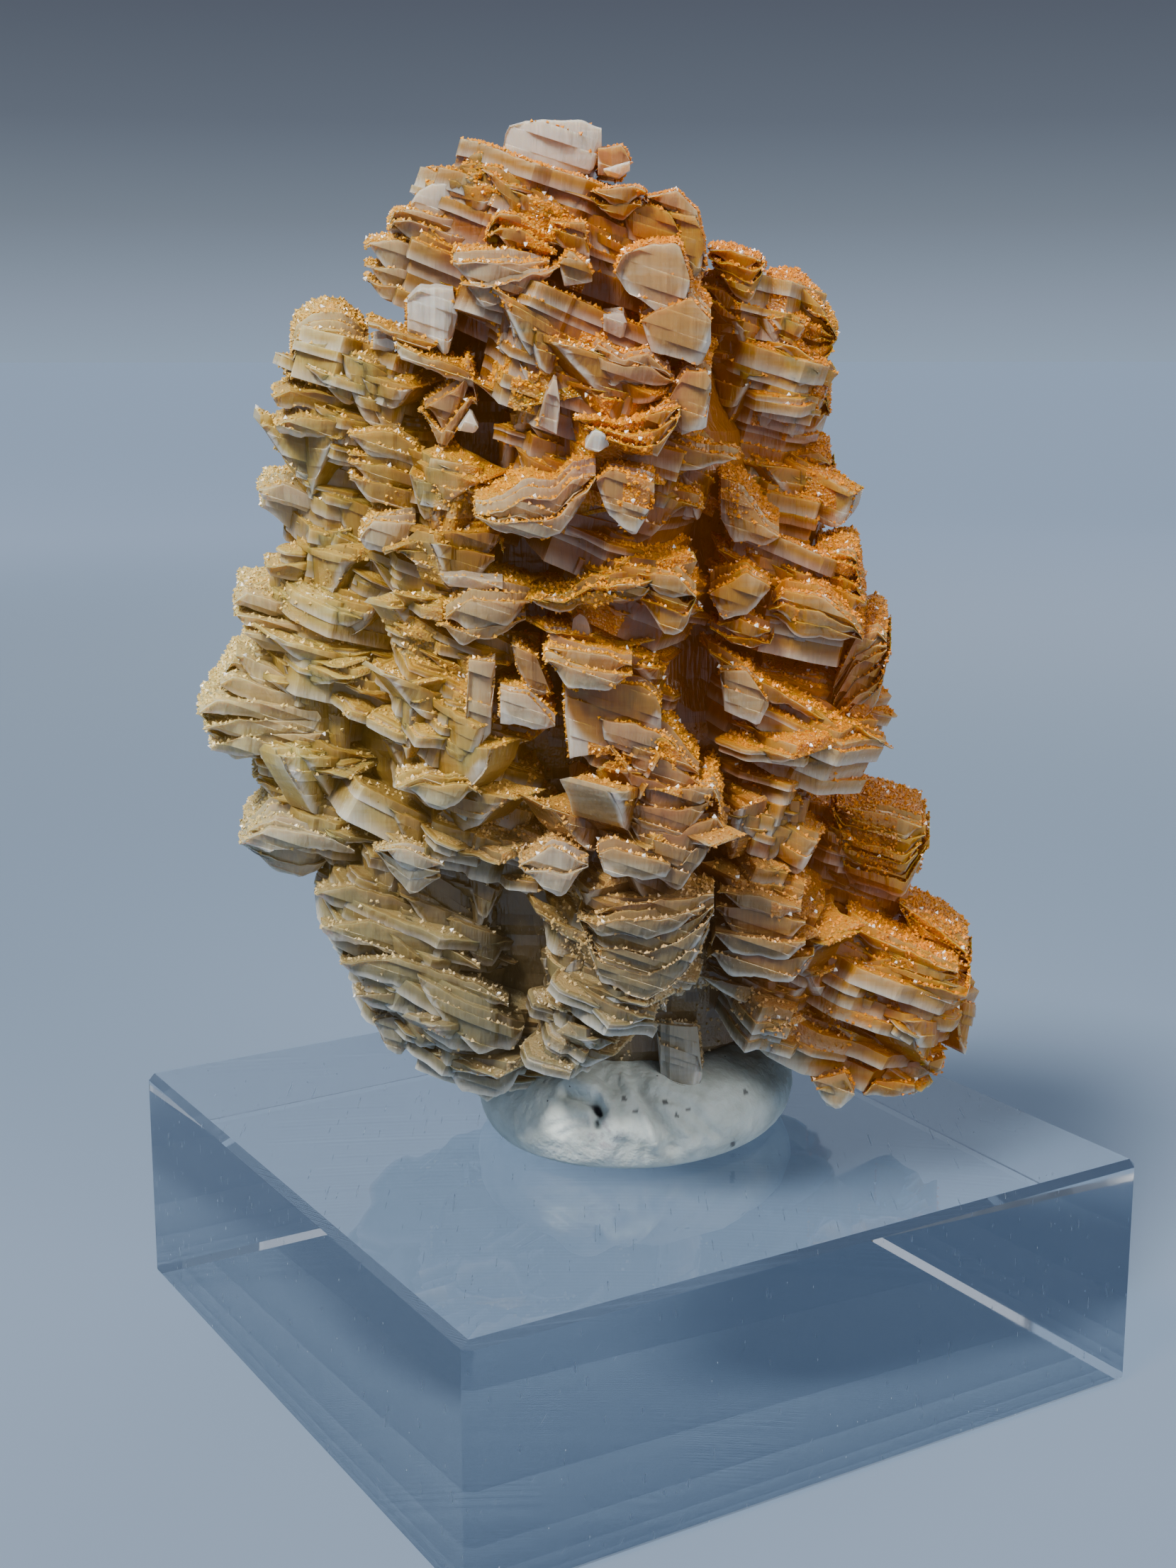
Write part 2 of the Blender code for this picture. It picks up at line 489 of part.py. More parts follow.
def build_cluster(collection, cutters):
    finish = material("platy_crystal", (0.72, 0.55, 0.36), 0.35)
    frame = to_block_frame()
    growth = new_collection("growth_helpers")
    chance = random.Random(GROWTH_SEED)
    for name, (near, far, thickness, dip, rows) in COLUMNS.items():
        at_back = near >= 0
        for number, ledge in enumerate(ledges(near, far, thickness, rows, chance)):
            lean = min(LEAN, TOP_LEAN + LEAN_STEP * number)
            bm = plate_mesh(*ledge, LEDGE_SIDES, dip, -lean if at_back else lean, chance)
            bm.transform(frame)
            hide_cutter(add_object(f"{name}_{number}", bm, growth))
            if at_back and chance.random() < BLADE_SHARE:
                bm = blade_mesh(*ledge, dip, chance)
                bm.transform(frame)
                hide_cutter(add_object(f"{name}_blade_{number}", bm, growth))
    for name, (near, length, outline) in CRYSTALS.items():
        bm = crystal_mesh(near, length, outline)
        bm.transform(frame)
        hide_cutter(add_object(name, bm, growth))
    bm = core_mesh()
    bm.transform(frame)
    cluster = add_object("crystal_cluster", bm, collection)
    join = cluster.modifiers.new("grown together", "BOOLEAN")
    join.operation = "UNION"
    join.operand_type = "COLLECTION"
    join.collection = growth
    join.solver = "EXACT"
    bm = putty_mesh(GAP)
    bm.transform(frame)
    bed = add_object("putty_bed", bm, cutters)
    hide_cutter(bed)
    seat = cluster.modifiers.new("seat in the putty", "BOOLEAN")
    seat.operation = "DIFFERENCE"
    seat.object = bed
    seat.solver = "EXACT"
    bpy.context.view_layer.update()
    evaluated = cluster.evaluated_get(bpy.context.evaluated_depsgraph_get())
    grown = bpy.data.meshes.new_from_object(evaluated)
    bm = bmesh.new()
    bm.from_mesh(grown)
    keep_largest_shell(bm)
    for face in bm.faces:
        face.material_index = 0
    cluster.modifiers.clear()
    bm.to_mesh(cluster.data)
    bm.free()
    cluster.data.materials.clear()
    cluster.data.materials.append(finish)


def main():
    clear_scene()
    specimen = new_collection("wulfenite_specimen")
    cutters = new_collection("cutters")
    build_block(specimen)
    build_putty(specimen)
    build_cluster(specimen, cutters)


main()
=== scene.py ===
"""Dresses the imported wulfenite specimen: layered plates, micro-crystals, creased putty, acrylic block.

The frame is in metres with +Z up and the origin under the middle of the block. The crystals are grown
in millimetres in a frame turned to the photograph's view: X to its right, Y away from the viewer, Z up
from the block's top face. The last step of each piece turns it square to the block, as the solids are.
"""

import math
import random
from collections import namedtuple

import bmesh
import bpy
import numpy as np
from mathutils import Matrix, Vector, noise


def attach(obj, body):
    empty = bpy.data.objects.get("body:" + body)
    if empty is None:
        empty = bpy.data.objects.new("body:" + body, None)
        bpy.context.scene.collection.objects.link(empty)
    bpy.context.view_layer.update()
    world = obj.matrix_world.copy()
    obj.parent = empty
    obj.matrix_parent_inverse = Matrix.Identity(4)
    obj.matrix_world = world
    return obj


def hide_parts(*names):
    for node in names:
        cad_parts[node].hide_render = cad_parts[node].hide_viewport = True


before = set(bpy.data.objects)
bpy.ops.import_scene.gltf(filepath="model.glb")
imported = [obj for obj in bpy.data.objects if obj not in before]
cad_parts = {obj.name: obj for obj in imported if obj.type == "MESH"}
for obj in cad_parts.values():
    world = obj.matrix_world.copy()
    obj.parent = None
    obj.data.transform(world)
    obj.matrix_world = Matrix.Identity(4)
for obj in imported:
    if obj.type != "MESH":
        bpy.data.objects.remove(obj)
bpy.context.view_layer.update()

MM = 0.001
CORE_NAME = "shared_body"
GROWTH_SEED = 41  # as in the solids
DETAIL_SEED = 7
PATCH_SEED = 5

# The display block and the photograph, as the solids have them
BLOCK_HEIGHT = 12.0
BLOCK_TURN = math.radians(31.24)
PHOTO_WIDTH = 1659
PHOTO_HEIGHT = 2212
FOCAL_PIXELS = 2903
SENSOR_WIDTH = 36.0
VIEWPOINT = Vector((-1.4, -103.05, 39.08))
VIEW_PITCH = math.radians(11.67)

# The putty: a roll bent round and open at the back, as (x, y, radius of the roll) along its middle
PUTTY_PATH = [(-3.2, 3.6, 2.8), (-4.2, 0.8, 3.4), (-2.8, -3.4, 4.5), (0.8, -5.6, 4.1),
              (4.6, -3.8, 3.5), (6.2, 0.4, 3.9), (5.4, 4.4, 3.2)]
PUTTY_SQUASH = 0.72
PUTTY_MIDDLE = 1.9
GAP = 0.3

# The habit of the crystals, as in the solids
LEAN = 11.0  # degrees that the plates slope down outwards
TOP_LEAN = 1.0
LEAN_STEP = 4.0
FLAT_ROW = 277
LEAN_PER_ROW = 0.049
PLATE_WANDER = 6.0
LEDGE_OVERLAP = 0.35
LEDGE_REACH = (0.90, 1.04)
LEDGE_UNEVEN = 0.24
LEDGE_WAVES = 2.2
LEDGE_SHIFT = (0.5, 0.8)
LEDGE_THICKNESS = (0.75, 1.3)
LEDGE_DEPTH = (0.90, 1.08)
SQUARENESS = 2.6
OFFSETS = 100
BLADE_RADIUS = (1.7, 3.2)
BLADE_SHARE = 0.8
BLADE_ANGLES = (20, 160)
BLADE_PLACE = 0.8
BLADE_THICKNESS = (0.4, 0.9)
BLADE_WAIST = (0.7, 1.1)
ROW_STEP = 10

# Outlines seen from above: how many corners each kind has, and how far apart its points are
LEDGE_CORNERS = 20
BLADE_CORNERS = 9
SMALL_BLADE_CORNERS = 6
CORNER_SHIFT = 0.35
CORNER_REACH = (0.94, 1.05)
FRONT_SPACING = 0.19  # millimetres, where the outline shows
HIDDEN_SPACING = 0.70
HIDDEN_FROM = -0.25  # share of the half depth
BACK_SPACING = 2.1  # times that of the front
SMALL_BLADE_SPACING = 0.24
OUTLINE_STEPS = 600
FEWEST_POINTS = 12
WAVE_KNOTS = 256

# The layers that a ledge is made of, in millimetres. Pairs such as LAYER_SWING, LEDGE_FLUTES and
# FLOOR_SWAY say how far a random line swings, and over what length.
LAYER_THICKNESS = 0.62
LAYER_SHARES = (0.4, 1.6)
LAYER_WANDER = 0.22
LAYER_SWING = (2.2, 3.8)
LAYER_RANGE = (-0.4, 1.0)
LAYER_SLOPE = 0.02
LAYER_NOTCH = 0.22
NOTCH_SPACING = 6.0
THINNEST = 0.05
UNDERCUT = 0.12
DEEPEST_CUT = 0.7  # share of the ledge
HOLLOW_DEPTH = 1.1
HOLLOW_SWING = (2.2, 2.6)
HOLLOW_RARITY = 0.3
HOLLOW_LAYERS = (0.35, 0.9)  # the share of the layers above it
HOLLOW_SPAN = 1.3  # layers
FLUTE_DEPTH = 0.035
FLUTE_WIDTH = 0.55
LEDGE_FLUTES = (0.5, 0.21)
LEAF_FLUTES = (0.6, 0.22)

# The stepped floors
FLOOR_SWAY = (0.14, 4.0)
FLOOR_RIPPLE = (0.05, 1.3)
LEAST_STEPPED = 2.5  # half width of the smallest ledge that has steps
MIDDLE_SHARE = 0.45
MIDDLE_RISE = 0.10
RIM_WIDTH = 0.22
RIM_HEIGHT = 0.06
TREAD = 0.45
TREAD_LEAST = 0.75
TREAD_SWING = (0.6, 2.3)
TREAD_RISE = 0.04
RISER = 0.30
RISER_LEAST = 0.45
RISER_SWING = (1.1, 2.6)
RISER_RANGE = (0.03, 1.4)
RISER_SLOPE = 0.03

# How near an edge each kind of point counts as lying, from 0 to 1. The nearest take a painted highlight.
LAYER_RIMS = [0.6, 0.9]
TREAD_RIM = 0.3
LEAF_TREAD_RIM = 0.4
BURIED_RIM = 0.1

# Leaves: on the ledges' walls, and as the layers of the traced crystals
LEAVES = (6, 9)  # on each ledge
LEAF_ANGLES = (12, 168)
LEAF_WIDTH = (2.2, 6.5)
SIDE_LEAF = 1.4  # the widest at the side, and how much wider in front
FRONT_LEAF = 7
TOP_LEAF = 0.6  # how wide it is on the top ledge, how much lower there, and how high on the last one
TOP_LEAF_DROP = 0.4
FOOT_LEAF = 0.4
LEAF_SINK = 0.2
LOOK_AHEAD = 0.05  # radians
LEAF_HEIGHT = (0.8, 2.8)
LEAF_LENGTH = (1.2, 2.6)
LEAF_OUT = (-0.3, 0.3)
LEAF_LEVEL = (-0.35, 0.4)
EXTRA_DIP = (0, 14)
LEAF_TILT = 5
LEAF_SKEW = (0.6, 1.7)
LEAF_TOP = (0.1, 1.5)
LEAF_FOOT = (0.15, 0.8)
LEAF_FULLNESS = (0.7, 1.5)
LEAF_YAW = 0.25
LEAF_BULGE = 0.17
LEAF_SPACING = 0.19
LEAF_LAYERS = (0.4, 1.5)
LEAF_WANDER = 0.18
LEAF_SWING = (1.6, 2.4)
LEAF_RANGE = (-1, 0.4)
LAST_SWING = (0.15, 1.8)
RAGGED = 0.09
TOP_RAG = (0.6, 0.5)
FOOT_RAG = (1.0, 0.6)
TOP_STEPS = (1.0, 0.9)  # how high the steps of an edge or face are, and how far apart
FOOT_STEPS = (1.2, 0.7)
FACE_STEPS = (0.14, 2.6)
LAYER_STEPS = (0.05, 2.5)
THINNEST_LEAF = 0.04
LEAST_FLOOR = 0.2
BURIED_SHARES = (0.4, 1.0)
# A leaf's foot and sides count as near an edge, so they take the painted highlight.
FOOT_RIM = 0.9
SIDE_RIM = 0.6
SIDE_CURVE = 2.2
DEEPEST_BULGE = 1.8
CURL = 0.35  # how far a face falls back towards its foot
FEWEST_PLACES = 8
TRACED_DIP = 18.0
TRACED_EDGE = 0.01  # share of the width
CRYSTAL_BULGE = 0.12
SLIVER_BULGE = 0.03
LEAST_SLOPE = 4  # degrees under which a top has no steps
SPLIT_SHARES = (0.5, 1.5)
SPLIT_END = 0.14
SPLIT_OVERLAP = 0.08
SPLIT_OUT = (-0.30, 0.35)  # how far one plate of a split crystal stands before or behind the next
TAPER = 0.9  # over which its ends thin out, and to what share
THIN_END = 0.1

# Thin blades on the ledges' rims
SMALL_BLADES = (1, 2)  # on each ledge
LEFT_BLADES = (4, 6)  # on each ledge of the flaky columns
SMALL_BLADE_ANGLES = (5, 175)
SMALL_BLADE_RADIUS = (0.8, 2.2)
SMALL_BLADE_THICKNESS = (0.14, 0.45)
SMALL_BLADE_WAIST = (0.6, 1.0)
SMALL_BLADE_LEVEL = (-0.5, 0.3)
SMALL_BLADE_DIP = (-8, 8)
SMALL_BLADE_LEAN = (-6, 10)
SMALL_BLADE_NOTCH = 0.15
SMALL_BLADE_HOLLOW = 0.1
BLADE_OUT = (0.1, 0.7)  # how far a blade stands out of its ledge
FLAKY = ("left_shoulder", "left_fans", "left_centre", "lower_left", "lobe_lower", "back_left",
         "back_low_left")

# How thickly the micro-crystals coat a face, as a share of the most
COATED = 1.0
BARE = 0.15
BARE_COAT = 0.03
SLIVER_COAT = 0.5
COATED_STEP = 0.12  # the least width of a step in a wall that carries micro-crystals
HOLLOW_COAT = 0.74  # how rarely the walls of a hollow are coated, and how thickly
HOLLOW_SHARE = 0.9
HOLLOW_FROM = 0.18  # how deep in the mass a hollow begins, and over how much more it is a full one
HOLLOW_BLEND = 0.12
BARE_FROM = 0.3  # how pale a crystal is that has no coated hollows
PATCH_CONTRAST = 0.35
DRUSE_SHARES = {"left_shoulder": 0.5, "left_centre": 0.7, "left_fans": 0.45, "lower_left": 0.25,
                "lower_front": 0.55, "right_lower": 0.5, "lobe_upper": 0.8, "lobe_lower": 0.5}
HOLLOW_SHARES = {CORE_NAME: 0.25, "left_shoulder": 0.35, "left_centre": 0.6, "left_fans": 0.1,
                 "lower_left": 0.1, "lower_front": 0.4, "right_lower": 0.5, "lobe_upper": 0.6,
                 "lobe_lower": 0.4, "left_crystals": 0.2, "foot_crystals": 0.1, "right_crystals": 0.7,
                 "back_left": 0.5, "back_low_left": 0.5, "back_centre": 0.5, "back_low_centre": 0.5}
GRAIN_SIZE = 0.125  # millimetres across, the middle size
GRAINS_PER_MM2 = 19.0
BACK_GRAINS = 0.45  # times as many as in front
GRAIN_SIZES = (0.55, 1.6)  # times the middle size
GRAIN_RADIUS = 0.62  # shares of its size
GRAIN_HEIGHT = 0.9
GRAIN_TILT = 0.6  # radians
BURIED_DEPTHS = (0.62, 0.78)  # depths in the mass from which no micro-crystals show

# The grid that says where the mass of crystals is
CELL = 0.8  # millimetres
GRID_LOW = np.array([-26.0, -22.0, -6.0])
GRID_SHAPE = (66, 56, 76)
FILLED_SHARES = (0.08, 0.25, 0.42, 0.6, 0.78, 0.93)
LOOK_OUT = 1.1  # how far before a face the grid is read
# The core counts as lying at least this deep, so its clefts take the painted shade and glow of a hollow.
CLEFT_DEPTH = 0.5  # how deep in the mass the floors of the clefts count as lying

# Where the groups of traced crystals part, in pixels of the photograph
CROWN_ROW = 440
FOOT_ROW = 1150
LEFT_COLUMN = 700
MIDDLE_COLUMN = 1000

# The body that the columns share, as rings: row, left and right pixel, near and far depth
CORE_RINGS = [(268, 720, 890, -4.0, 2.0), (320, 640, 955, -5.0, 3.0), (420, 590, 970, -6.0, 6.0),
    (700, 520, 1080, -7.5, 8.0), (1000, 470, 1130, -8.0, 9.0), (1250, 540, 1120, -8.0, 8.0),
    (1430, 620, 1080, -6.0, 6.0), (1462, 700, 1010, -5.0, 4.0), (1492, 740, 990, -3.0, 3.0)]
CORE_SIDES = 90
CORE_STEP = 14
CORE_SPACING = 0.4
CORE_WAVE = 1.1
CORE_UNEVEN = 0.08
CORE_KEPT = 0.8  # shares of the last ring's unevenness, and of new unevenness
CORE_NEW = 0.2
CORE_ROUND = 0.8

# Columns of ledges. Each has the depth of its near and far side, the thickness of its ledges, the
# degrees that they dip to the right, and its outline from the top down as (pixel row, left pixel,
# right pixel) in the photograph.
COLUMNS = {
    "crown": (-8.5, 5.0, 2.3, 17, [(245, 690, 890), (275, 650, 940), (320, 590, 985), (370, 540, 1000),
        (420, 520, 1000), (456, 530, 1000)]),
    "front_column": (-12.5, 1.0, 2.2, 18, [(440, 640, 1000), (500, 660, 994), (560, 690, 1000),
        (620, 700, 993), (700, 706, 1000), (780, 735, 992), (850, 765, 981), (905, 800, 960)]),
    "left_shoulder": (-8.0, 5.0, 2.3, 13, [(500, 440, 640), (540, 420, 670), (590, 402, 700),
        (640, 412, 700), (700, 410, 690), (757, 414, 680), (800, 396, 670), (860, 400, 650),
        (930, 404, 640)]),
    "left_centre": (-11.5, 1.0, 2.1, 14, [(650, 590, 704), (700, 575, 706), (780, 560, 712),
        (850, 545, 746), (924, 540, 753), (1010, 555, 784), (1070, 565, 796), (1125, 560, 812),
        (1160, 560, 790)]),
    "left_fans": (-6.5, 5.0, 1.7, 11, [(905, 398, 560), (950, 380, 560), (1000, 364, 560),
        (1040, 368, 560), (1080, 386, 560), (1120, 410, 570), (1150, 434, 580)]),
    "lower_left": (-9.5, 4.0, 1.9, 24, [(1130, 450, 760), (1190, 430, 770), (1250, 448, 775),
        (1310, 470, 780), (1360, 490, 780), (1400, 525, 770), (1430, 590, 750)]),
    "lower_front": (-13.0, 2.0, 2.3, 20, [(925, 815, 905), (985, 805, 930), (1045, 805, 950),
        (1107, 812, 1002), (1150, 805, 1024), (1190, 790, 1024), (1240, 770, 1000), (1300, 760, 985),
        (1340, 752, 925), (1375, 745, 855)]),
    "upper_right": (-3.5, 6.0, 2.2, 15, [(405, 1000, 1115), (440, 990, 1150), (480, 980, 1172),
        (535, 980, 1142), (585, 980, 1166), (636, 980, 1150), (665, 970, 1170), (730, 970, 1158),
        (770, 970, 1160)]),
    "right_middle": (-9.0, 5.0, 2.2, 18, [(765, 1000, 1150), (800, 985, 1200), (845, 980, 1215),
        (892, 960, 1236), (925, 955, 1250), (985, 950, 1238), (1020, 960, 1192), (1050, 965, 1168)]),
    "right_lower": (-9.0, 4.0, 2.2, 16, [(1050, 960, 1150), (1110, 985, 1125), (1160, 1010, 1110),
        (1210, 1010, 1140), (1256, 1015, 1162), (1314, 1005, 1160), (1365, 985, 1122),
        (1400, 970, 1090)]),
    "lobe_upper": (-4.5, 5.0, 2.0, 16, [(1125, 1110, 1225), (1160, 1100, 1295), (1195, 1095, 1308),
        (1250, 1090, 1278), (1300, 1080, 1300)]),
    "lobe_lower": (-8.0, 4.0, 1.9, 23, [(1290, 1090, 1305), (1330, 1075, 1352), (1370, 1050, 1362),
        (1410, 1020, 1356), (1440, 1005, 1335)]),
    "back_crown": (0.5, 8.5, 2.5, 14, [(280, 660, 860), (330, 610, 900), (400, 600, 910),
        (470, 610, 900)]),
    "back_crown_right": (0.0, 8.0, 2.4, 12, [(345, 840, 985), (420, 820, 1000), (500, 820, 1000)]),
    "back_left": (2.0, 11.0, 2.6, 16, [(520, 480, 680), (600, 450, 700), (700, 440, 690),
        (790, 450, 680), (860, 440, 660)]),
    "back_centre": (4.0, 13.0, 2.7, 13, [(500, 660, 900), (600, 640, 930), (720, 650, 940),
        (840, 640, 930), (950, 660, 920), (1050, 680, 900)]),
    "back_right": (2.5, 11.5, 2.6, 15, [(480, 900, 1080), (580, 900, 1110), (690, 890, 1120),
        (780, 900, 1130), (880, 920, 1160), (960, 940, 1180), (1040, 950, 1170)]),
    "back_low_left": (1.0, 10.5, 2.5, 18, [(900, 420, 640), (980, 400, 660), (1080, 420, 670),
        (1180, 450, 680), (1290, 500, 690), (1370, 550, 690)]),
    "back_low_centre": (3.0, 12.0, 2.7, 14, [(1080, 660, 900), (1180, 650, 920), (1290, 660, 920),
        (1390, 680, 900)]),
    "back_low_right": (1.0, 10.0, 2.5, 17, [(1050, 900, 1110), (1140, 880, 1150), (1230, 890, 1170),
        (1320, 880, 1180), (1400, 890, 1170)]),
}

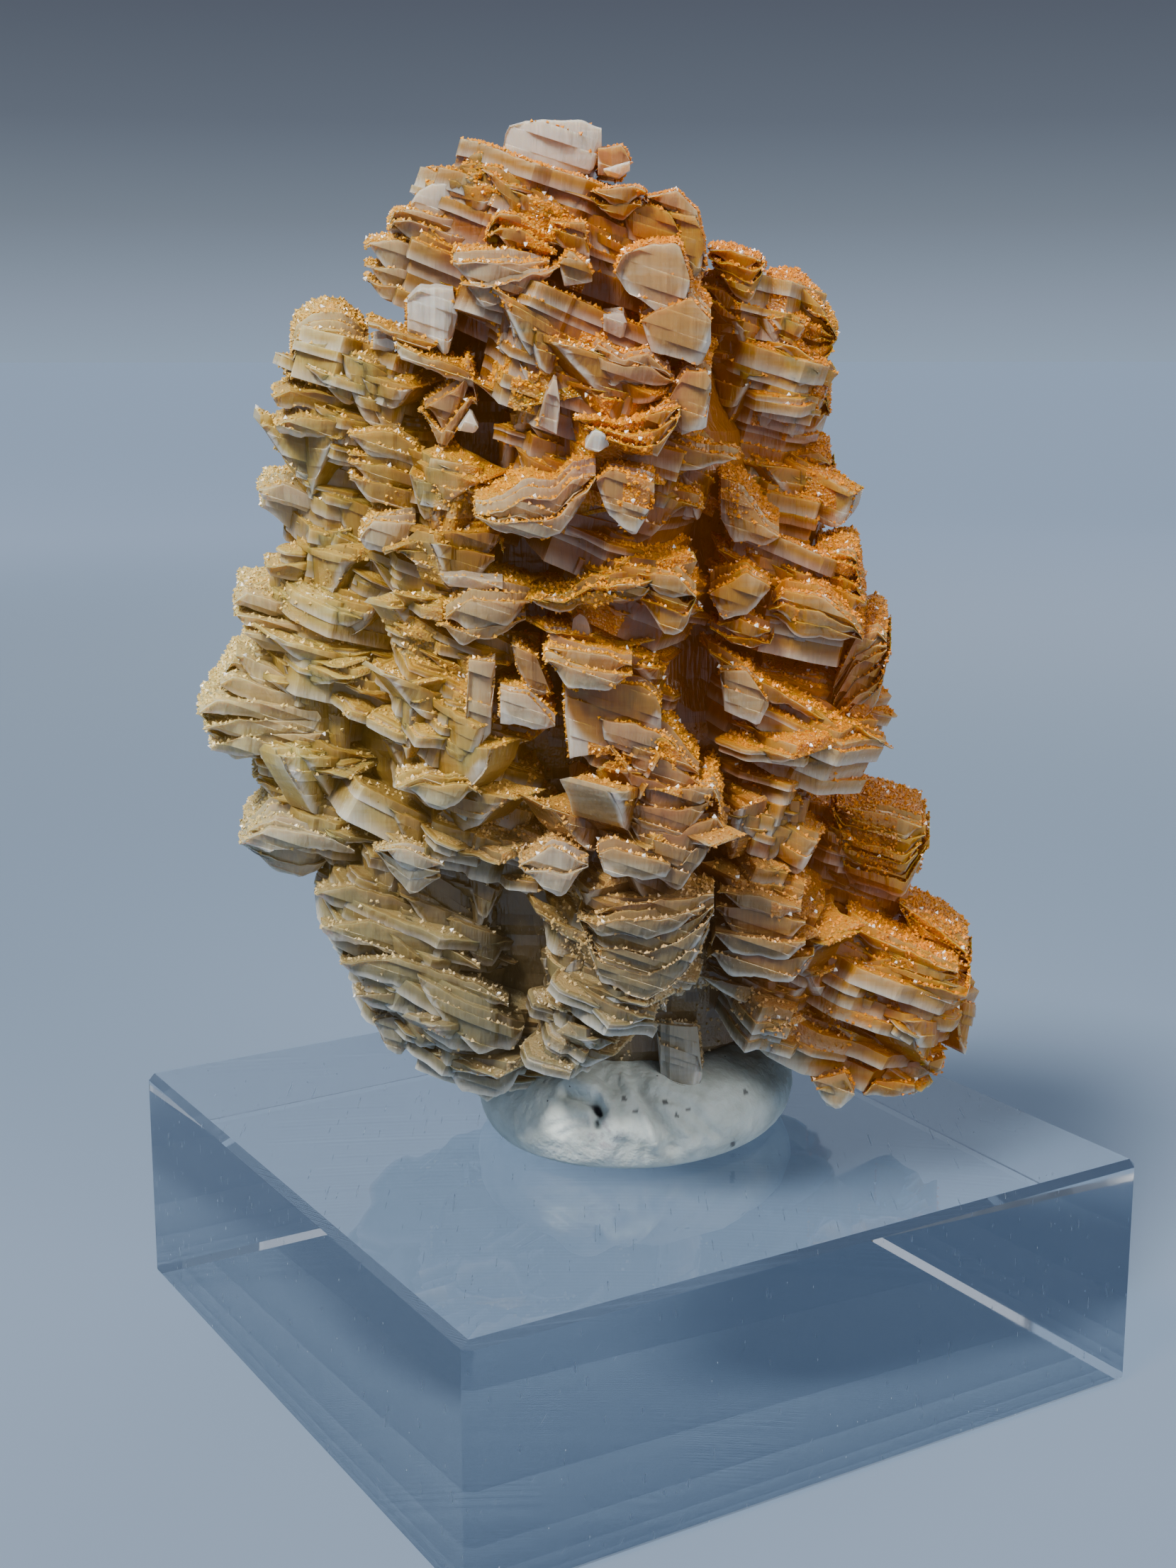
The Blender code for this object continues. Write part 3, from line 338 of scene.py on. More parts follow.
# Single crystals that stand out: the depth of the near face, the crystal's length away from the
# viewer, and the outline of its near face in pixels of the photograph.
CRYSTALS = {
    "top_block": (-5.0, 6.0, [(715, 181), (747, 173), (819, 171), (850, 183), (850, 205), (834, 246),
        (741, 246), (706, 229)]),
    "top_plate": (-7.5, 6.0, [(664, 252), (669, 237), (699, 233), (773, 255), (789, 300), (750, 293),
        (725, 272), (664, 262)]),
    "cube": (-5.0, 4.0, [(843, 211), (879, 205), (889, 229), (873, 251), (843, 246)]),
    "pale_block": (-6.0, 5.0, [(579, 290), (590, 270), (610, 260), (664, 260), (676, 275), (660, 303),
        (620, 312), (582, 305)]),
    "grey_block": (-8.8, 5.0, [(828, 270), (894, 262), (912, 272), (912, 306), (879, 309), (843, 303)]),
    "right_face": (-7.5, 5.0, [(912, 280), (955, 270), (985, 300), (996, 380), (981, 423), (955, 341)]),
    "mauve_block": (-7.0, 6.0, [(548, 318), (554, 300), (579, 295), (656, 316), (702, 306), (684, 339),
        (648, 367), (582, 350), (548, 339)]),
    "left_mauve_blade": (-6.5, 6.0, [(498, 388), (506, 359), (521, 344), (564, 341), (643, 369),
        (656, 392), (643, 405), (577, 428), (531, 420)]),
    "square_blade": (-8.5, 4.0, [(574, 425), (592, 405), (641, 409), (646, 451), (630, 507), (608, 480),
        (574, 471)]),
    "upper_bulge": (-10.5, 5.0, [(689, 323), (702, 301), (733, 306), (799, 352), (786, 376), (748, 350),
        (684, 345)]),
    "dark_block": (-10.0, 5.0, [(776, 313), (830, 316), (832, 367), (799, 356), (776, 335)]),
    "big_apron": (-12.0, 6.0, [(638, 372), (735, 372), (776, 367), (789, 376), (776, 395), (738, 408),
        (704, 425), (682, 431), (643, 418)]),
    "front_blade": (-12.8, 6.0, [(868, 387), (879, 362), (919, 344), (958, 346), (974, 397), (965, 448),
        (927, 438), (884, 408)]),
    "striated_wall": (-13.0, 5.0, [(927, 440), (976, 420), (1004, 455), (1004, 484), (991, 513),
        (960, 508), (917, 494), (905, 455)]),
    "edge_wall": (-12.6, 4.0, [(965, 524), (997, 524), (1004, 538), (1002, 566), (996, 603), (962, 612),
        (940, 570)]),
    "torn_blade": (-13.2, 2.5, [(822, 511), (843, 486), (879, 509), (912, 500), (960, 544), (940, 550),
        (879, 534), (866, 542), (832, 530)]),
    "bed_block": (-13.8, 6.0, [(810, 590), (876, 600), (961, 572), (958, 602), (927, 641), (894, 639),
        (863, 626), (815, 612)]),
    "pentagon_blade": (-14.2, 4.5, [(840, 680), (863, 662), (924, 682), (923, 712), (896, 759),
        (856, 723)]),
    "shelf_apron": (-14.6, 7.0, [(669, 728), (705, 725), (743, 705), (781, 706), (809, 676), (842, 672),
        (828, 705), (789, 754), (740, 756), (697, 745)]),
    "deep_apron": (-13.6, 6.0, [(743, 845), (799, 850), (837, 828), (898, 824), (955, 811), (930, 838),
        (865, 848), (789, 858)]),
    "corner_wall": (-13.4, 5.0, [(898, 811), (955, 811), (983, 844), (967, 903), (944, 893),
        (898, 862)]),
    "small_point": (-12.0, 2.0, [(804, 908), (809, 872), (819, 865), (830, 875), (836, 916)]),
    "ledge_plate": (-14.6, 6.0, [(761, 931), (776, 913), (855, 927), (901, 944), (906, 962), (855, 974),
        (804, 969), (763, 948)]),
    "tall_wall": (-13.4, 5.0, [(796, 964), (906, 966), (932, 985), (934, 1028), (880, 1060),
        (799, 1071)]),
    "mauve_blade": (-13.8, 4.0, [(845, 1015), (906, 1026), (939, 1041), (929, 1070), (901, 1064),
        (853, 1050)]),
    "diagonal_blade": (-14.0, 5.0, [(858, 1051), (939, 1041), (1000, 1107), (1000, 1135), (957, 1132),
        (893, 1109)]),
    "rounded_block": (-14.2, 7.0, [(872, 1150), (901, 1113), (1010, 1113), (1027, 1180), (978, 1222),
        (960, 1252), (907, 1230)]),
    "rim_block": (-14.8, 5.0, [(844, 1205), (869, 1199), (947, 1222), (944, 1236), (907, 1243),
        (848, 1230)]),
    "clear_block": (-13.8, 4.0, [(734, 1222), (777, 1194), (831, 1222), (803, 1254), (789, 1262),
        (740, 1243)]),
    "olive_block": (-14.0, 7.0, [(815, 1294), (884, 1274), (973, 1268), (1008, 1262), (1009, 1303),
        (990, 1345), (947, 1389), (912, 1409), (844, 1383)]),
    "tilted_plate": (-12.6, 3.0, [(722, 909), (756, 926), (778, 980), (753, 982), (728, 941)]),
    "pale_rounded": (-13.2, 5.0, [(705, 974), (743, 980), (784, 1023), (753, 1030), (705, 1018)]),
    "grey_prism": (-12.4, 4.0, [(661, 931), (699, 934), (697, 1031), (679, 1051), (655, 1046)]),
    "left_tile": (-12.6, 5.0, [(615, 880), (664, 847), (748, 849), (749, 877), (720, 893), (651, 905)]),
    "tan_shelf": (-12.2, 5.0, [(560, 1112), (600, 1093), (660, 1098), (680, 1122), (630, 1140),
        (575, 1134)]),
    "left_block": (-7.0, 5.0, [(405, 522), (418, 478), (440, 464), (480, 468), (521, 485), (497, 535),
        (405, 545)]),
    "left_wall": (-9.5, 6.0, [(480, 613), (557, 608), (587, 629), (623, 677), (646, 705), (623, 723),
        (569, 718), (480, 690)]),
    "mauve_wall": (-10.0, 5.0, [(592, 578), (643, 552), (664, 524), (674, 572), (643, 608),
        (623, 639)]),
    "hanging_apron": (-10.5, 4.0, [(508, 759), (526, 736), (587, 738), (577, 756), (541, 779),
        (518, 777)]),
    "left_knob": (-4.0, 4.0, [(368, 716), (371, 689), (407, 683), (445, 700), (450, 735), (410, 748)]),
    "upper_fan": (-5.0, 5.0, [(334, 842), (393, 837), (455, 855), (470, 885), (455, 905), (403, 926),
        (345, 900), (330, 869)]),
    "middle_fan": (-5.5, 5.0, [(290, 1000), (306, 968), (330, 925), (403, 925), (474, 970),
        (430, 1006)]),
    "lemon_fan": (-6.0, 5.0, [(279, 1007), (300, 985), (400, 985), (455, 1035), (410, 1062),
        (330, 1068), (292, 1040)]),
    "left_lump": (-5.5, 5.0, [(346, 1104), (364, 1085), (460, 1090), (480, 1135), (423, 1146),
        (385, 1130)]),
    "cream_blade": (-6.5, 6.0, [(339, 1192), (382, 1149), (430, 1152), (480, 1183), (459, 1223),
        (425, 1236), (390, 1230)]),
    "glitter_plate": (-10.4, 4.0, [(528, 1200), (574, 1198), (634, 1226), (617, 1248), (577, 1257)]),
    "wedge": (-4.0, 5.0, [(1001, 354), (1032, 354), (1080, 369), (1078, 395), (1060, 433),
        (1001, 388)]),
    "lower_wedge": (-3.6, 4.0, [(991, 405), (1019, 410), (1078, 454), (1044, 466), (1000, 430)]),
    "right_knob": (-2.0, 6.0, [(1077, 400), (1093, 396), (1123, 398), (1159, 432), (1182, 478),
        (1169, 509), (1146, 533), (1085, 490)]),
    "right_bulge": (-2.0, 6.0, [(1100, 550), (1148, 538), (1167, 553), (1171, 588), (1155, 607),
        (1095, 605)]),
    "right_swell": (-2.5, 6.0, [(1095, 650), (1154, 638), (1178, 662), (1174, 705), (1158, 735),
        (1095, 725)]),
    "trapezoid": (-9.6, 5.0, [(1016, 692), (1049, 697), (1083, 748), (1100, 759), (1078, 770),
        (1034, 763), (1016, 730)]),
    "right_block": (-7.0, 6.0, [(1146, 789), (1184, 780), (1207, 785), (1221, 852), (1205, 872),
        (1146, 830)]),
    "triangular_blade": (-10.2, 5.0, [(1001, 838), (1053, 809), (1087, 829), (1055, 867), (1019, 872)]),
    "wide_apron": (-9.8, 6.0, [(1077, 863), (1106, 834), (1160, 843), (1207, 883), (1218, 905),
        (1129, 895)]),
    "second_apron": (-10.0, 5.0, [(1001, 885), (1044, 874), (1093, 892), (1088, 914), (1024, 905)]),
    "right_bulk": (-7.0, 8.0, [(1207, 901), (1240, 890), (1258, 916), (1251, 941), (1242, 990),
        (1196, 1026), (1164, 1040), (1175, 972)]),
    "polygon_blade": (-10.6, 5.0, [(1015, 948), (1055, 948), (1085, 995), (1070, 1026), (1021, 1003)]),
    "hanging_block": (-8.0, 4.0, [(1098, 1112), (1133, 1118), (1128, 1160), (1105, 1152)]),
    "lobe_cap": (-5.0, 7.0, [(1173, 1138), (1254, 1148), (1308, 1170), (1313, 1192), (1275, 1264),
        (1190, 1235)]),
    "lobe_slab": (-7.6, 7.0, [(1177, 1316), (1187, 1304), (1254, 1331), (1322, 1361), (1371, 1377),
        (1366, 1418), (1288, 1404), (1241, 1390)]),
    "lobe_lip": (-4.5, 6.0, [(1268, 1274), (1308, 1300), (1372, 1352), (1366, 1377), (1300, 1352)]),
    "lobe_drip": (-7.5, 4.0, [(1146, 1525), (1193, 1515), (1206, 1544), (1183, 1564), (1162, 1556)]),
    "lobe_corner": (-5.5, 4.0, [(1240, 1505), (1325, 1495), (1329, 1512), (1291, 1522), (1280, 1540),
        (1240, 1543)]),
    "gap_crystal": (-7.0, 4.0, [(925, 1445), (985, 1450), (991, 1520), (978, 1548), (955, 1544),
        (930, 1520)]),
    "left_drip": (-8.5, 4.0, [(528, 1440), (585, 1430), (583, 1466), (564, 1488), (545, 1480)]),
    "low_drip": (-9.0, 5.0, [(604, 1500), (620, 1460), (720, 1450), (760, 1500), (700, 1545),
        (635, 1538)]),
}

# Small crystals that the solids don't have, in the same form
SLIVERS = {
    "small_white": (-8.6, 2.0, [(526, 479), (546, 476), (560, 484), (559, 496), (526, 493)]),
    "recess_crystal": (-12.0, 2.0, [(851, 446), (879, 442), (885, 456), (879, 479), (851, 466)]),
    "needle": (-12.8, 1.2, [(784, 529), (790, 570), (789, 603), (787, 613), (759, 600), (769, 560)]),
    "white_knob": (-14.3, 1.5, [(833, 613), (840, 608), (853, 613), (859, 629), (843, 639),
        (825, 631)]),
    "white_sparkle": (-10.8, 1.0, [(646, 606), (664, 580), (675, 603), (669, 611)]),
    "rod": (-12.6, 1.5, [(620, 812), (633, 811), (710, 820), (710, 833), (631, 828)]),
    "thin_plate_upper": (-9.4, 3.0, [(518, 456), (569, 474), (618, 487), (602, 497), (564, 484)]),
    "thin_plate_lower": (-10.0, 3.0, [(559, 487), (602, 507), (643, 517), (669, 533), (669, 550),
        (633, 535), (562, 504)]),
    "apron_tip": (-12.2, 3.0, [(789, 372), (804, 354), (835, 380), (836, 397), (794, 402)]),
    "wall_under_apron": (-11.0, 3.0, [(707, 428), (796, 428), (804, 479), (791, 507), (756, 528),
        (704, 494)]),
    "wall_under_left": (-11.6, 3.0, [(541, 779), (623, 751), (704, 754), (712, 789), (710, 828),
        (659, 812), (597, 799)]),
    "white_under_cube": (-6.0, 1.5, [(851, 239), (889, 229), (889, 239), (873, 249), (853, 247)]),
    "right_facet": (-11.4, 4.0, [(1010, 1257), (1059, 1262), (1150, 1288), (1150, 1366), (1113, 1383),
        (1013, 1369), (996, 1354)]),
    "lobe_fringe_left": (-7.2, 1.5, [(1153, 1537), (1193, 1523), (1204, 1544), (1183, 1564),
        (1166, 1560)]),
    "lobe_fringe_right": (-6.0, 1.5, [(1298, 1503), (1332, 1493), (1329, 1510), (1315, 1517)]),
    "fan_plate_first": (-6.8, 3.5, [(332, 926), (348, 925), (455, 985), (450, 1000), (360, 962)]),
    "fan_plate_second": (-7.0, 3.5, [(309, 966), (330, 955), (450, 995), (455, 1010), (340, 984)]),
    "fan_plate_third": (-7.2, 3.5, [(279, 1006), (310, 986), (450, 1004), (455, 1018), (330, 1010)]),
    "fan_plate_fourth": (-7.1, 3.5, [(288, 1030), (340, 1016), (450, 1016), (448, 1032), (350, 1042)]),
    "fan_plate_fifth": (-7.0, 3.5, [(296, 1056), (350, 1038), (455, 1034), (450, 1050), (345, 1068)]),
    "high_fan_first": (-6.0, 3.5, [(330, 852), (350, 838), (440, 860), (470, 882), (440, 878),
        (355, 862)]),
    "high_fan_second": (-6.4, 3.5, [(334, 868), (430, 884), (458, 905), (400, 899), (345, 884)]),
    "high_fan_third": (-6.6, 3.0, [(344, 892), (400, 900), (440, 918), (420, 926), (370, 912)]),
    "knob_plate": (-5.5, 3.5, [(364, 692), (400, 684), (450, 705), (472, 728), (440, 722), (372, 706)]),
    "shoulder_plate_first": (-7.6, 3.5, [(384, 562), (410, 550), (500, 562), (560, 592), (500, 580),
        (392, 574)]),
    "shoulder_plate_second": (-8.2, 3.5, [(387, 600), (420, 588), (520, 604), (570, 634), (500, 620),
        (395, 612)]),
    "step_plate": (-6.4, 3.5, [(374, 802), (440, 792), (500, 815), (522, 838), (450, 824), (380, 814)]),
    "cream_plate_first": (-7.6, 3.5, [(338, 1190), (380, 1168), (470, 1182), (502, 1202), (440, 1200),
        (380, 1202)]),
    "cream_plate_second": (-7.2, 3.5, [(352, 1172), (390, 1152), (480, 1170), (502, 1188),
        (430, 1184)]),
    "low_plate_first": (-8.8, 3.0, [(445, 1262), (500, 1250), (620, 1290), (645, 1314), (560, 1302),
        (470, 1277)]),
    "low_plate_second": (-9.6, 3.0, [(452, 1310), (520, 1298), (640, 1340), (680, 1368), (580, 1350),
        (470, 1324)]),
    "low_plate_third": (-10.2, 3.0, [(480, 1362), (560, 1352), (680, 1392), (720, 1420), (610, 1402),
        (500, 1376)]),
    "low_plate_fourth": (-9.8, 3.0, [(500, 1404), (590, 1400), (700, 1434), (730, 1458), (620, 1444),
        (520, 1418)]),
    "lobe_fringe_middle": (-6.4, 1.5, [(1237, 1523), (1291, 1530), (1291, 1540), (1261, 1547),
        (1217, 1545)]),
    "crown_ledge_block": (-8.0, 4.0, [(880, 300), (912, 290), (945, 300), (960, 330), (955, 352),
        (925, 358), (888, 352)]),
    "crown_side_wall": (-7.9, 4.0, [(940, 300), (984, 306), (995, 350), (990, 400), (968, 420),
        (956, 352)]),
}

# Crystals that are stacks of thinner plates, and how many
SPLITS = {
    "top_plate": 3, "mauve_block": 3, "left_mauve_blade": 3, "grey_block": 2, "right_face": 3,
    "upper_bulge": 2, "big_apron": 2, "torn_blade": 2, "bed_block": 3, "shelf_apron": 3, "deep_apron": 2,
    "corner_wall": 3, "ledge_plate": 2, "diagonal_blade": 3, "rounded_block": 4, "olive_block": 5,
    "clear_block": 2, "left_tile": 2, "tan_shelf": 2, "left_block": 3, "left_wall": 4, "mauve_wall": 2,
    "upper_fan": 4, "middle_fan": 4, "lemon_fan": 5, "left_lump": 3, "cream_blade": 4, "glitter_plate": 3,
    "lower_wedge": 2, "wedge": 3, "right_knob": 6, "right_bulge": 3, "right_swell": 4, "right_block": 4,
    "wide_apron": 3, "right_bulk": 6, "lobe_cap": 6, "lobe_slab": 4, "lobe_lip": 3, "low_drip": 3,
    "right_facet": 4, "wall_under_left": 2, "second_apron": 2,
}

# Crystals paler than the rest, and how much. The palest carry hardly any micro-crystals.
PALE_CRYSTALS = {
    "top_block": 0.9, "white_under_cube": 1.0, "pale_block": 0.8, "square_blade": 1.0, "needle": 0.6,
    "white_knob": 1.0, "small_white": 0.9, "white_sparkle": 1.0, "recess_crystal": 0.7, "rod": 0.6,
    "grey_prism": 0.4, "small_point": 0.5, "gap_crystal": 0.4, "clear_block": 0.5, "glitter_plate": 0.5,
    "mauve_block": 0.35, "left_mauve_blade": 0.35, "front_blade": 0.3, "right_face": 0.3, "cube": 0.2,
    "big_apron": 0.35, "striated_wall": 0.2, "edge_wall": 0.2, "shelf_apron": 0.35, "pentagon_blade": 0.2,
    "ledge_plate": 0.25, "pale_rounded": 0.5, "mauve_blade": 0.3, "diagonal_blade": 0.2, "tilted_plate": 0.2,
    "rounded_block": 0.15, "rim_block": 0.2, "left_tile": 0.3, "hanging_apron": 0.45, "left_knob": 0.5,
    "left_block": 0.3, "mauve_wall": 0.25, "torn_blade": 0.3, "right_bulk": 0.2, "polygon_blade": 0.2,
    "trapezoid": 0.2, "lobe_drip": 0.2, "lobe_corner": 0.2, "left_drip": 0.3, "low_drip": 0.2,
    "cream_blade": 0.5, "cream_plate_first": 0.5, "cream_plate_second": 0.5, "knob_plate": 0.5,
    "lemon_fan": 0.3, "middle_fan": 0.3, "upper_fan": 0.3, "fan_plate_first": 0.4, "fan_plate_second": 0.4,
    "fan_plate_third": 0.4, "fan_plate_fourth": 0.4, "fan_plate_fifth": 0.4, "high_fan_first": 0.4,
    "high_fan_second": 0.4, "high_fan_third": 0.4,
}

# A plate of the solids, and the closed skin of one ledge, blade or crystal
Plate = namedtuple("Plate", "centre half_width half_depth thickness offset turn")
Shell = namedtuple("Shell", "points quads fans druse rim rings pale", defaults=(0.0,))


def seen(column, row, depth):
    """The points at these depths, in millimetres, that show at these pixels of the photograph."""
    across = (np.asarray(column, float) - PHOTO_WIDTH / 2) / FOCAL_PIXELS
    up = (PHOTO_HEIGHT / 2 - np.asarray(row, float)) / FOCAL_PIXELS
    cos_pitch = math.cos(VIEW_PITCH)
    sin_pitch = math.sin(VIEW_PITCH)
    reach = (np.asarray(depth, float) - VIEWPOINT.y) / (cos_pitch + up * sin_pitch)
    x = VIEWPOINT.x + across * reach
    y = VIEWPOINT.y + reach * (cos_pitch + up * sin_pitch)
    z = VIEWPOINT.z + reach * (up * cos_pitch - sin_pitch)
    return np.stack([x, y, z], axis=-1)


def to_block_frame():
    """Turns millimetres of the view's frame into metres of the block's frame."""
    lift = Matrix.Translation((0, 0, BLOCK_HEIGHT * MM))
    return lift @ Matrix.Rotation(-BLOCK_TURN, 4, "Z") @ Matrix.Scale(MM, 4)


def wave(places, chance):
    """Smooth random values from -1 to 1 along a line, one swing for each unit of places."""
    knots = np.array([chance.uniform(-1, 1) for _ in range(WAVE_KNOTS + 1)])
    whole = np.floor(places).astype(int)
    share = places - whole
    share = share * share * (3 - 2 * share)
    return knots[whole % WAVE_KNOTS] * (1 - share) + knots[(whole + 1) % WAVE_KNOTS] * share


def swing(places, habit, chance):
    """Smooth random values along a line. habit is how far they swing, and over what length."""
    size, length = habit
    return size * wave(places / length, chance)


def steps(places, length, spacing, chance):
    """Random values from 0 to 1 that stay level and then jump, along a line of this length."""
    jumps = np.sort([chance.uniform(0, length) for _ in range(max(1, round(length / spacing)))])
    levels = np.array([chance.random() for _ in range(len(jumps) + 1)])
    return levels[np.searchsorted(jumps, places)]


def stepped(places, length, habit, chance, power=1):
    """Random values that jump. habit is how high the highest is, and how far apart the jumps are."""
    size, spacing = habit
    return size * steps(places, length, spacing, chance) ** power


def flutes(places, fine, chance):
    """Upright grooves in a face, wide ones and finer ones over them."""
    return FLUTE_DEPTH * (wave(places / FLUTE_WIDTH, chance) + swing(places, fine, chance))


# Shells: rings of points joined into one closed skin

def outward(points, quads, fans):
    """Turns the faces round where they enclose a negative volume."""
    corners = np.concatenate([quads[:, :3], quads[:, [0, 2, 3]], fans])
    a, b, c = (points[corners[:, k]] for k in range(3))
    if np.einsum("ij,ij->", a, np.cross(b, c)) < 0:
        return quads[:, ::-1], fans[:, ::-1]
    return quads, fans


def shell_of(rings, druse, rim):
    """A closed skin over rings of shape (rings, points, 3). druse says which faces carry micro-crystals,
    one value for each face of each band between two rings, and rim how near each point is to an edge."""
    count, around = rings.shape[:2]
    points = np.concatenate([rings.reshape(-1, 3), rings[0].mean(0)[None], rings[-1].mean(0)[None]])
    here = np.arange(around)
    after = (here + 1) % around
    bands = [np.stack([r * around + here, (r + 1) * around + here, (r + 1) * around + after,
                       r * around + after], axis=1) for r in range(count - 1)]
    first = np.stack([here, after, np.full(around, count * around)], axis=1)
    last = np.stack([after, here, np.full(around, count * around + 1)], axis=1)
    last[:, :2] += (count - 1) * around
    quads, fans = outward(points, np.concatenate(bands), np.concatenate([first, last]))
    ends = np.concatenate([np.full(around, 1.0), np.zeros(around)])
    return Shell(points, quads, fans, np.concatenate([druse.reshape(-1), ends]),
                 np.concatenate([rim.reshape(-1), [0.0, 0.0]]), rings)


# Ledges: stacks of layers with one uneven outline

def outline_at(rows, row):
    """Left and right pixel of a column's outline at this row, between the rows that are given."""
    for upper, lower in zip(rows, rows[1:]):
        if row <= lower[0]:
            share = (row - upper[0]) / (lower[0] - upper[0])
            return (upper[1] + share * (lower[1] - upper[1]), upper[2] + share * (lower[2] - upper[2]))
    return rows[-1][1:]


def rows_over(height, row, depth):
    """How many rows of the photograph this height covers, from this row down."""
    return ROW_STEP * height / (seen(0, row, depth)[2] - seen(0, row + ROW_STEP, depth)[2])


def ledges(near, far, thickness, rows, chance):
    """Centre, half width, half depth and thickness of each ledge of a column, as in the solids."""
    middle = (near + far) / 2
    step = thickness * chance.uniform(*LEDGE_THICKNESS)
    row = rows[0][0] + rows_over(step / 2, rows[0][0], middle)
    found = []
    while row <= rows[-1][0]:
        left, right = outline_at(rows, row)
        left_point = Vector(seen(left, row, middle))
        right_point = Vector(seen(right, row, middle))
        reach = chance.uniform(*LEDGE_REACH)
        centre = (left_point + right_point) / 2
        centre.x += chance.uniform(-1, 1) * LEDGE_SHIFT[0]
        centre.y += chance.uniform(-1, 1) * LEDGE_SHIFT[1]
        half_width = (right_point.x - left_point.x) / 2 * reach
        half_depth = (far - near) / 2 * chance.uniform(*LEDGE_DEPTH)
        found.append((centre, half_width, half_depth, step))
        row += rows_over(step, row, middle)
        step = thickness * chance.uniform(*LEDGE_THICKNESS)
    return found


def plate(centre, half_width, half_depth, thickness, dip, outward_lean, chance):
    """Draws the chances of one plate in the order that the solids draw them. The first, the place of
    its corners, isn't used here."""
    chance.uniform(0, math.tau)
    offset = chance.uniform(0, OFFSETS)
    lean = outward_lean + chance.uniform(-PLATE_WANDER, PLATE_WANDER)
    dip = dip + chance.uniform(-PLATE_WANDER, PLATE_WANDER)
    turn = Matrix.Rotation(math.radians(lean), 3, "X") @ Matrix.Rotation(math.radians(dip), 3, "Y")
    return Plate(centre, half_width, half_depth, thickness, offset, turn)


def rim_point(form, angle):
    """The solid's rounded outline, at an angle round the plate."""
    across = math.cos(angle)
    away = math.sin(angle)
    square = (abs(across) ** SQUARENESS + abs(away) ** SQUARENESS) ** (-1 / SQUARENESS)
    place = (LEDGE_WAVES * across + form.offset, LEDGE_WAVES * away, 0)
    reach = square * (1 + LEDGE_UNEVEN * noise.noise(place))
    return (across * reach * form.half_width, away * reach * form.half_depth)


def rim_outline(form, corners, facing, spacing, chance):
    """Points along a many-cornered outline, close together on the side that shows. Gives the points,
    the way out at each, and each one's place along the outline in millimetres."""
    angles = [math.tau * (k + chance.uniform(-CORNER_SHIFT, CORNER_SHIFT)) / corners for k in range(corners)]
    knots = np.array([rim_point(form, angle) for angle in angles])
    knots *= np.array([chance.uniform(*CORNER_REACH) for _ in range(corners)])[:, None]
    knots = np.vstack([knots, knots[:1]])
    lengths = np.hypot(*np.diff(knots, axis=0).T)
    along = np.concatenate([[0], np.cumsum(lengths)])
    fine = np.linspace(0, along[-1], OUTLINE_STEPS)
    y = np.interp(fine, along, knots[:, 1])
    x = np.interp(fine, along, knots[:, 0])
    hidden = facing * y < HIDDEN_FROM * form.half_depth
    pace = np.where(hidden, spacing * HIDDEN_SPACING / FRONT_SPACING, spacing)
    ticks = np.concatenate([[0], np.cumsum(np.diff(fine) / pace[1:])])
    count = max(FEWEST_POINTS, round(ticks[-1]))
    places = np.interp(np.linspace(0, ticks[-1], count, endpoint=False), ticks, fine)
    points = np.stack([np.interp(places, fine, x), np.interp(places, fine, y)], axis=1)
    ways = points / np.array([form.half_width, form.half_depth])
    ways /= np.linalg.norm(ways, axis=1)[:, None]
    return points, ways, places, along[-1]


def terraces(places, chance, count):
    """How far behind the rim, and how high over it, each tread and riser of a stepped floor ends, and
    how thickly it is coated."""
    back = np.full(len(places), RIM_WIDTH)
    high = np.full(len(places), RIM_HEIGHT)
    found = [(back, high, BARE)]
    for _ in range(count):
        back = back + TREAD * (TREAD_LEAST + swing(places, TREAD_SWING, chance))
        high = high + TREAD_RISE
        found.append((back, high, COATED))
        high = high + RISER * np.clip(RISER_LEAST + swing(places, RISER_SWING, chance), *RISER_RANGE)
        back = back + RISER_SLOPE
        found.append((back, high, 0.0))
    return found


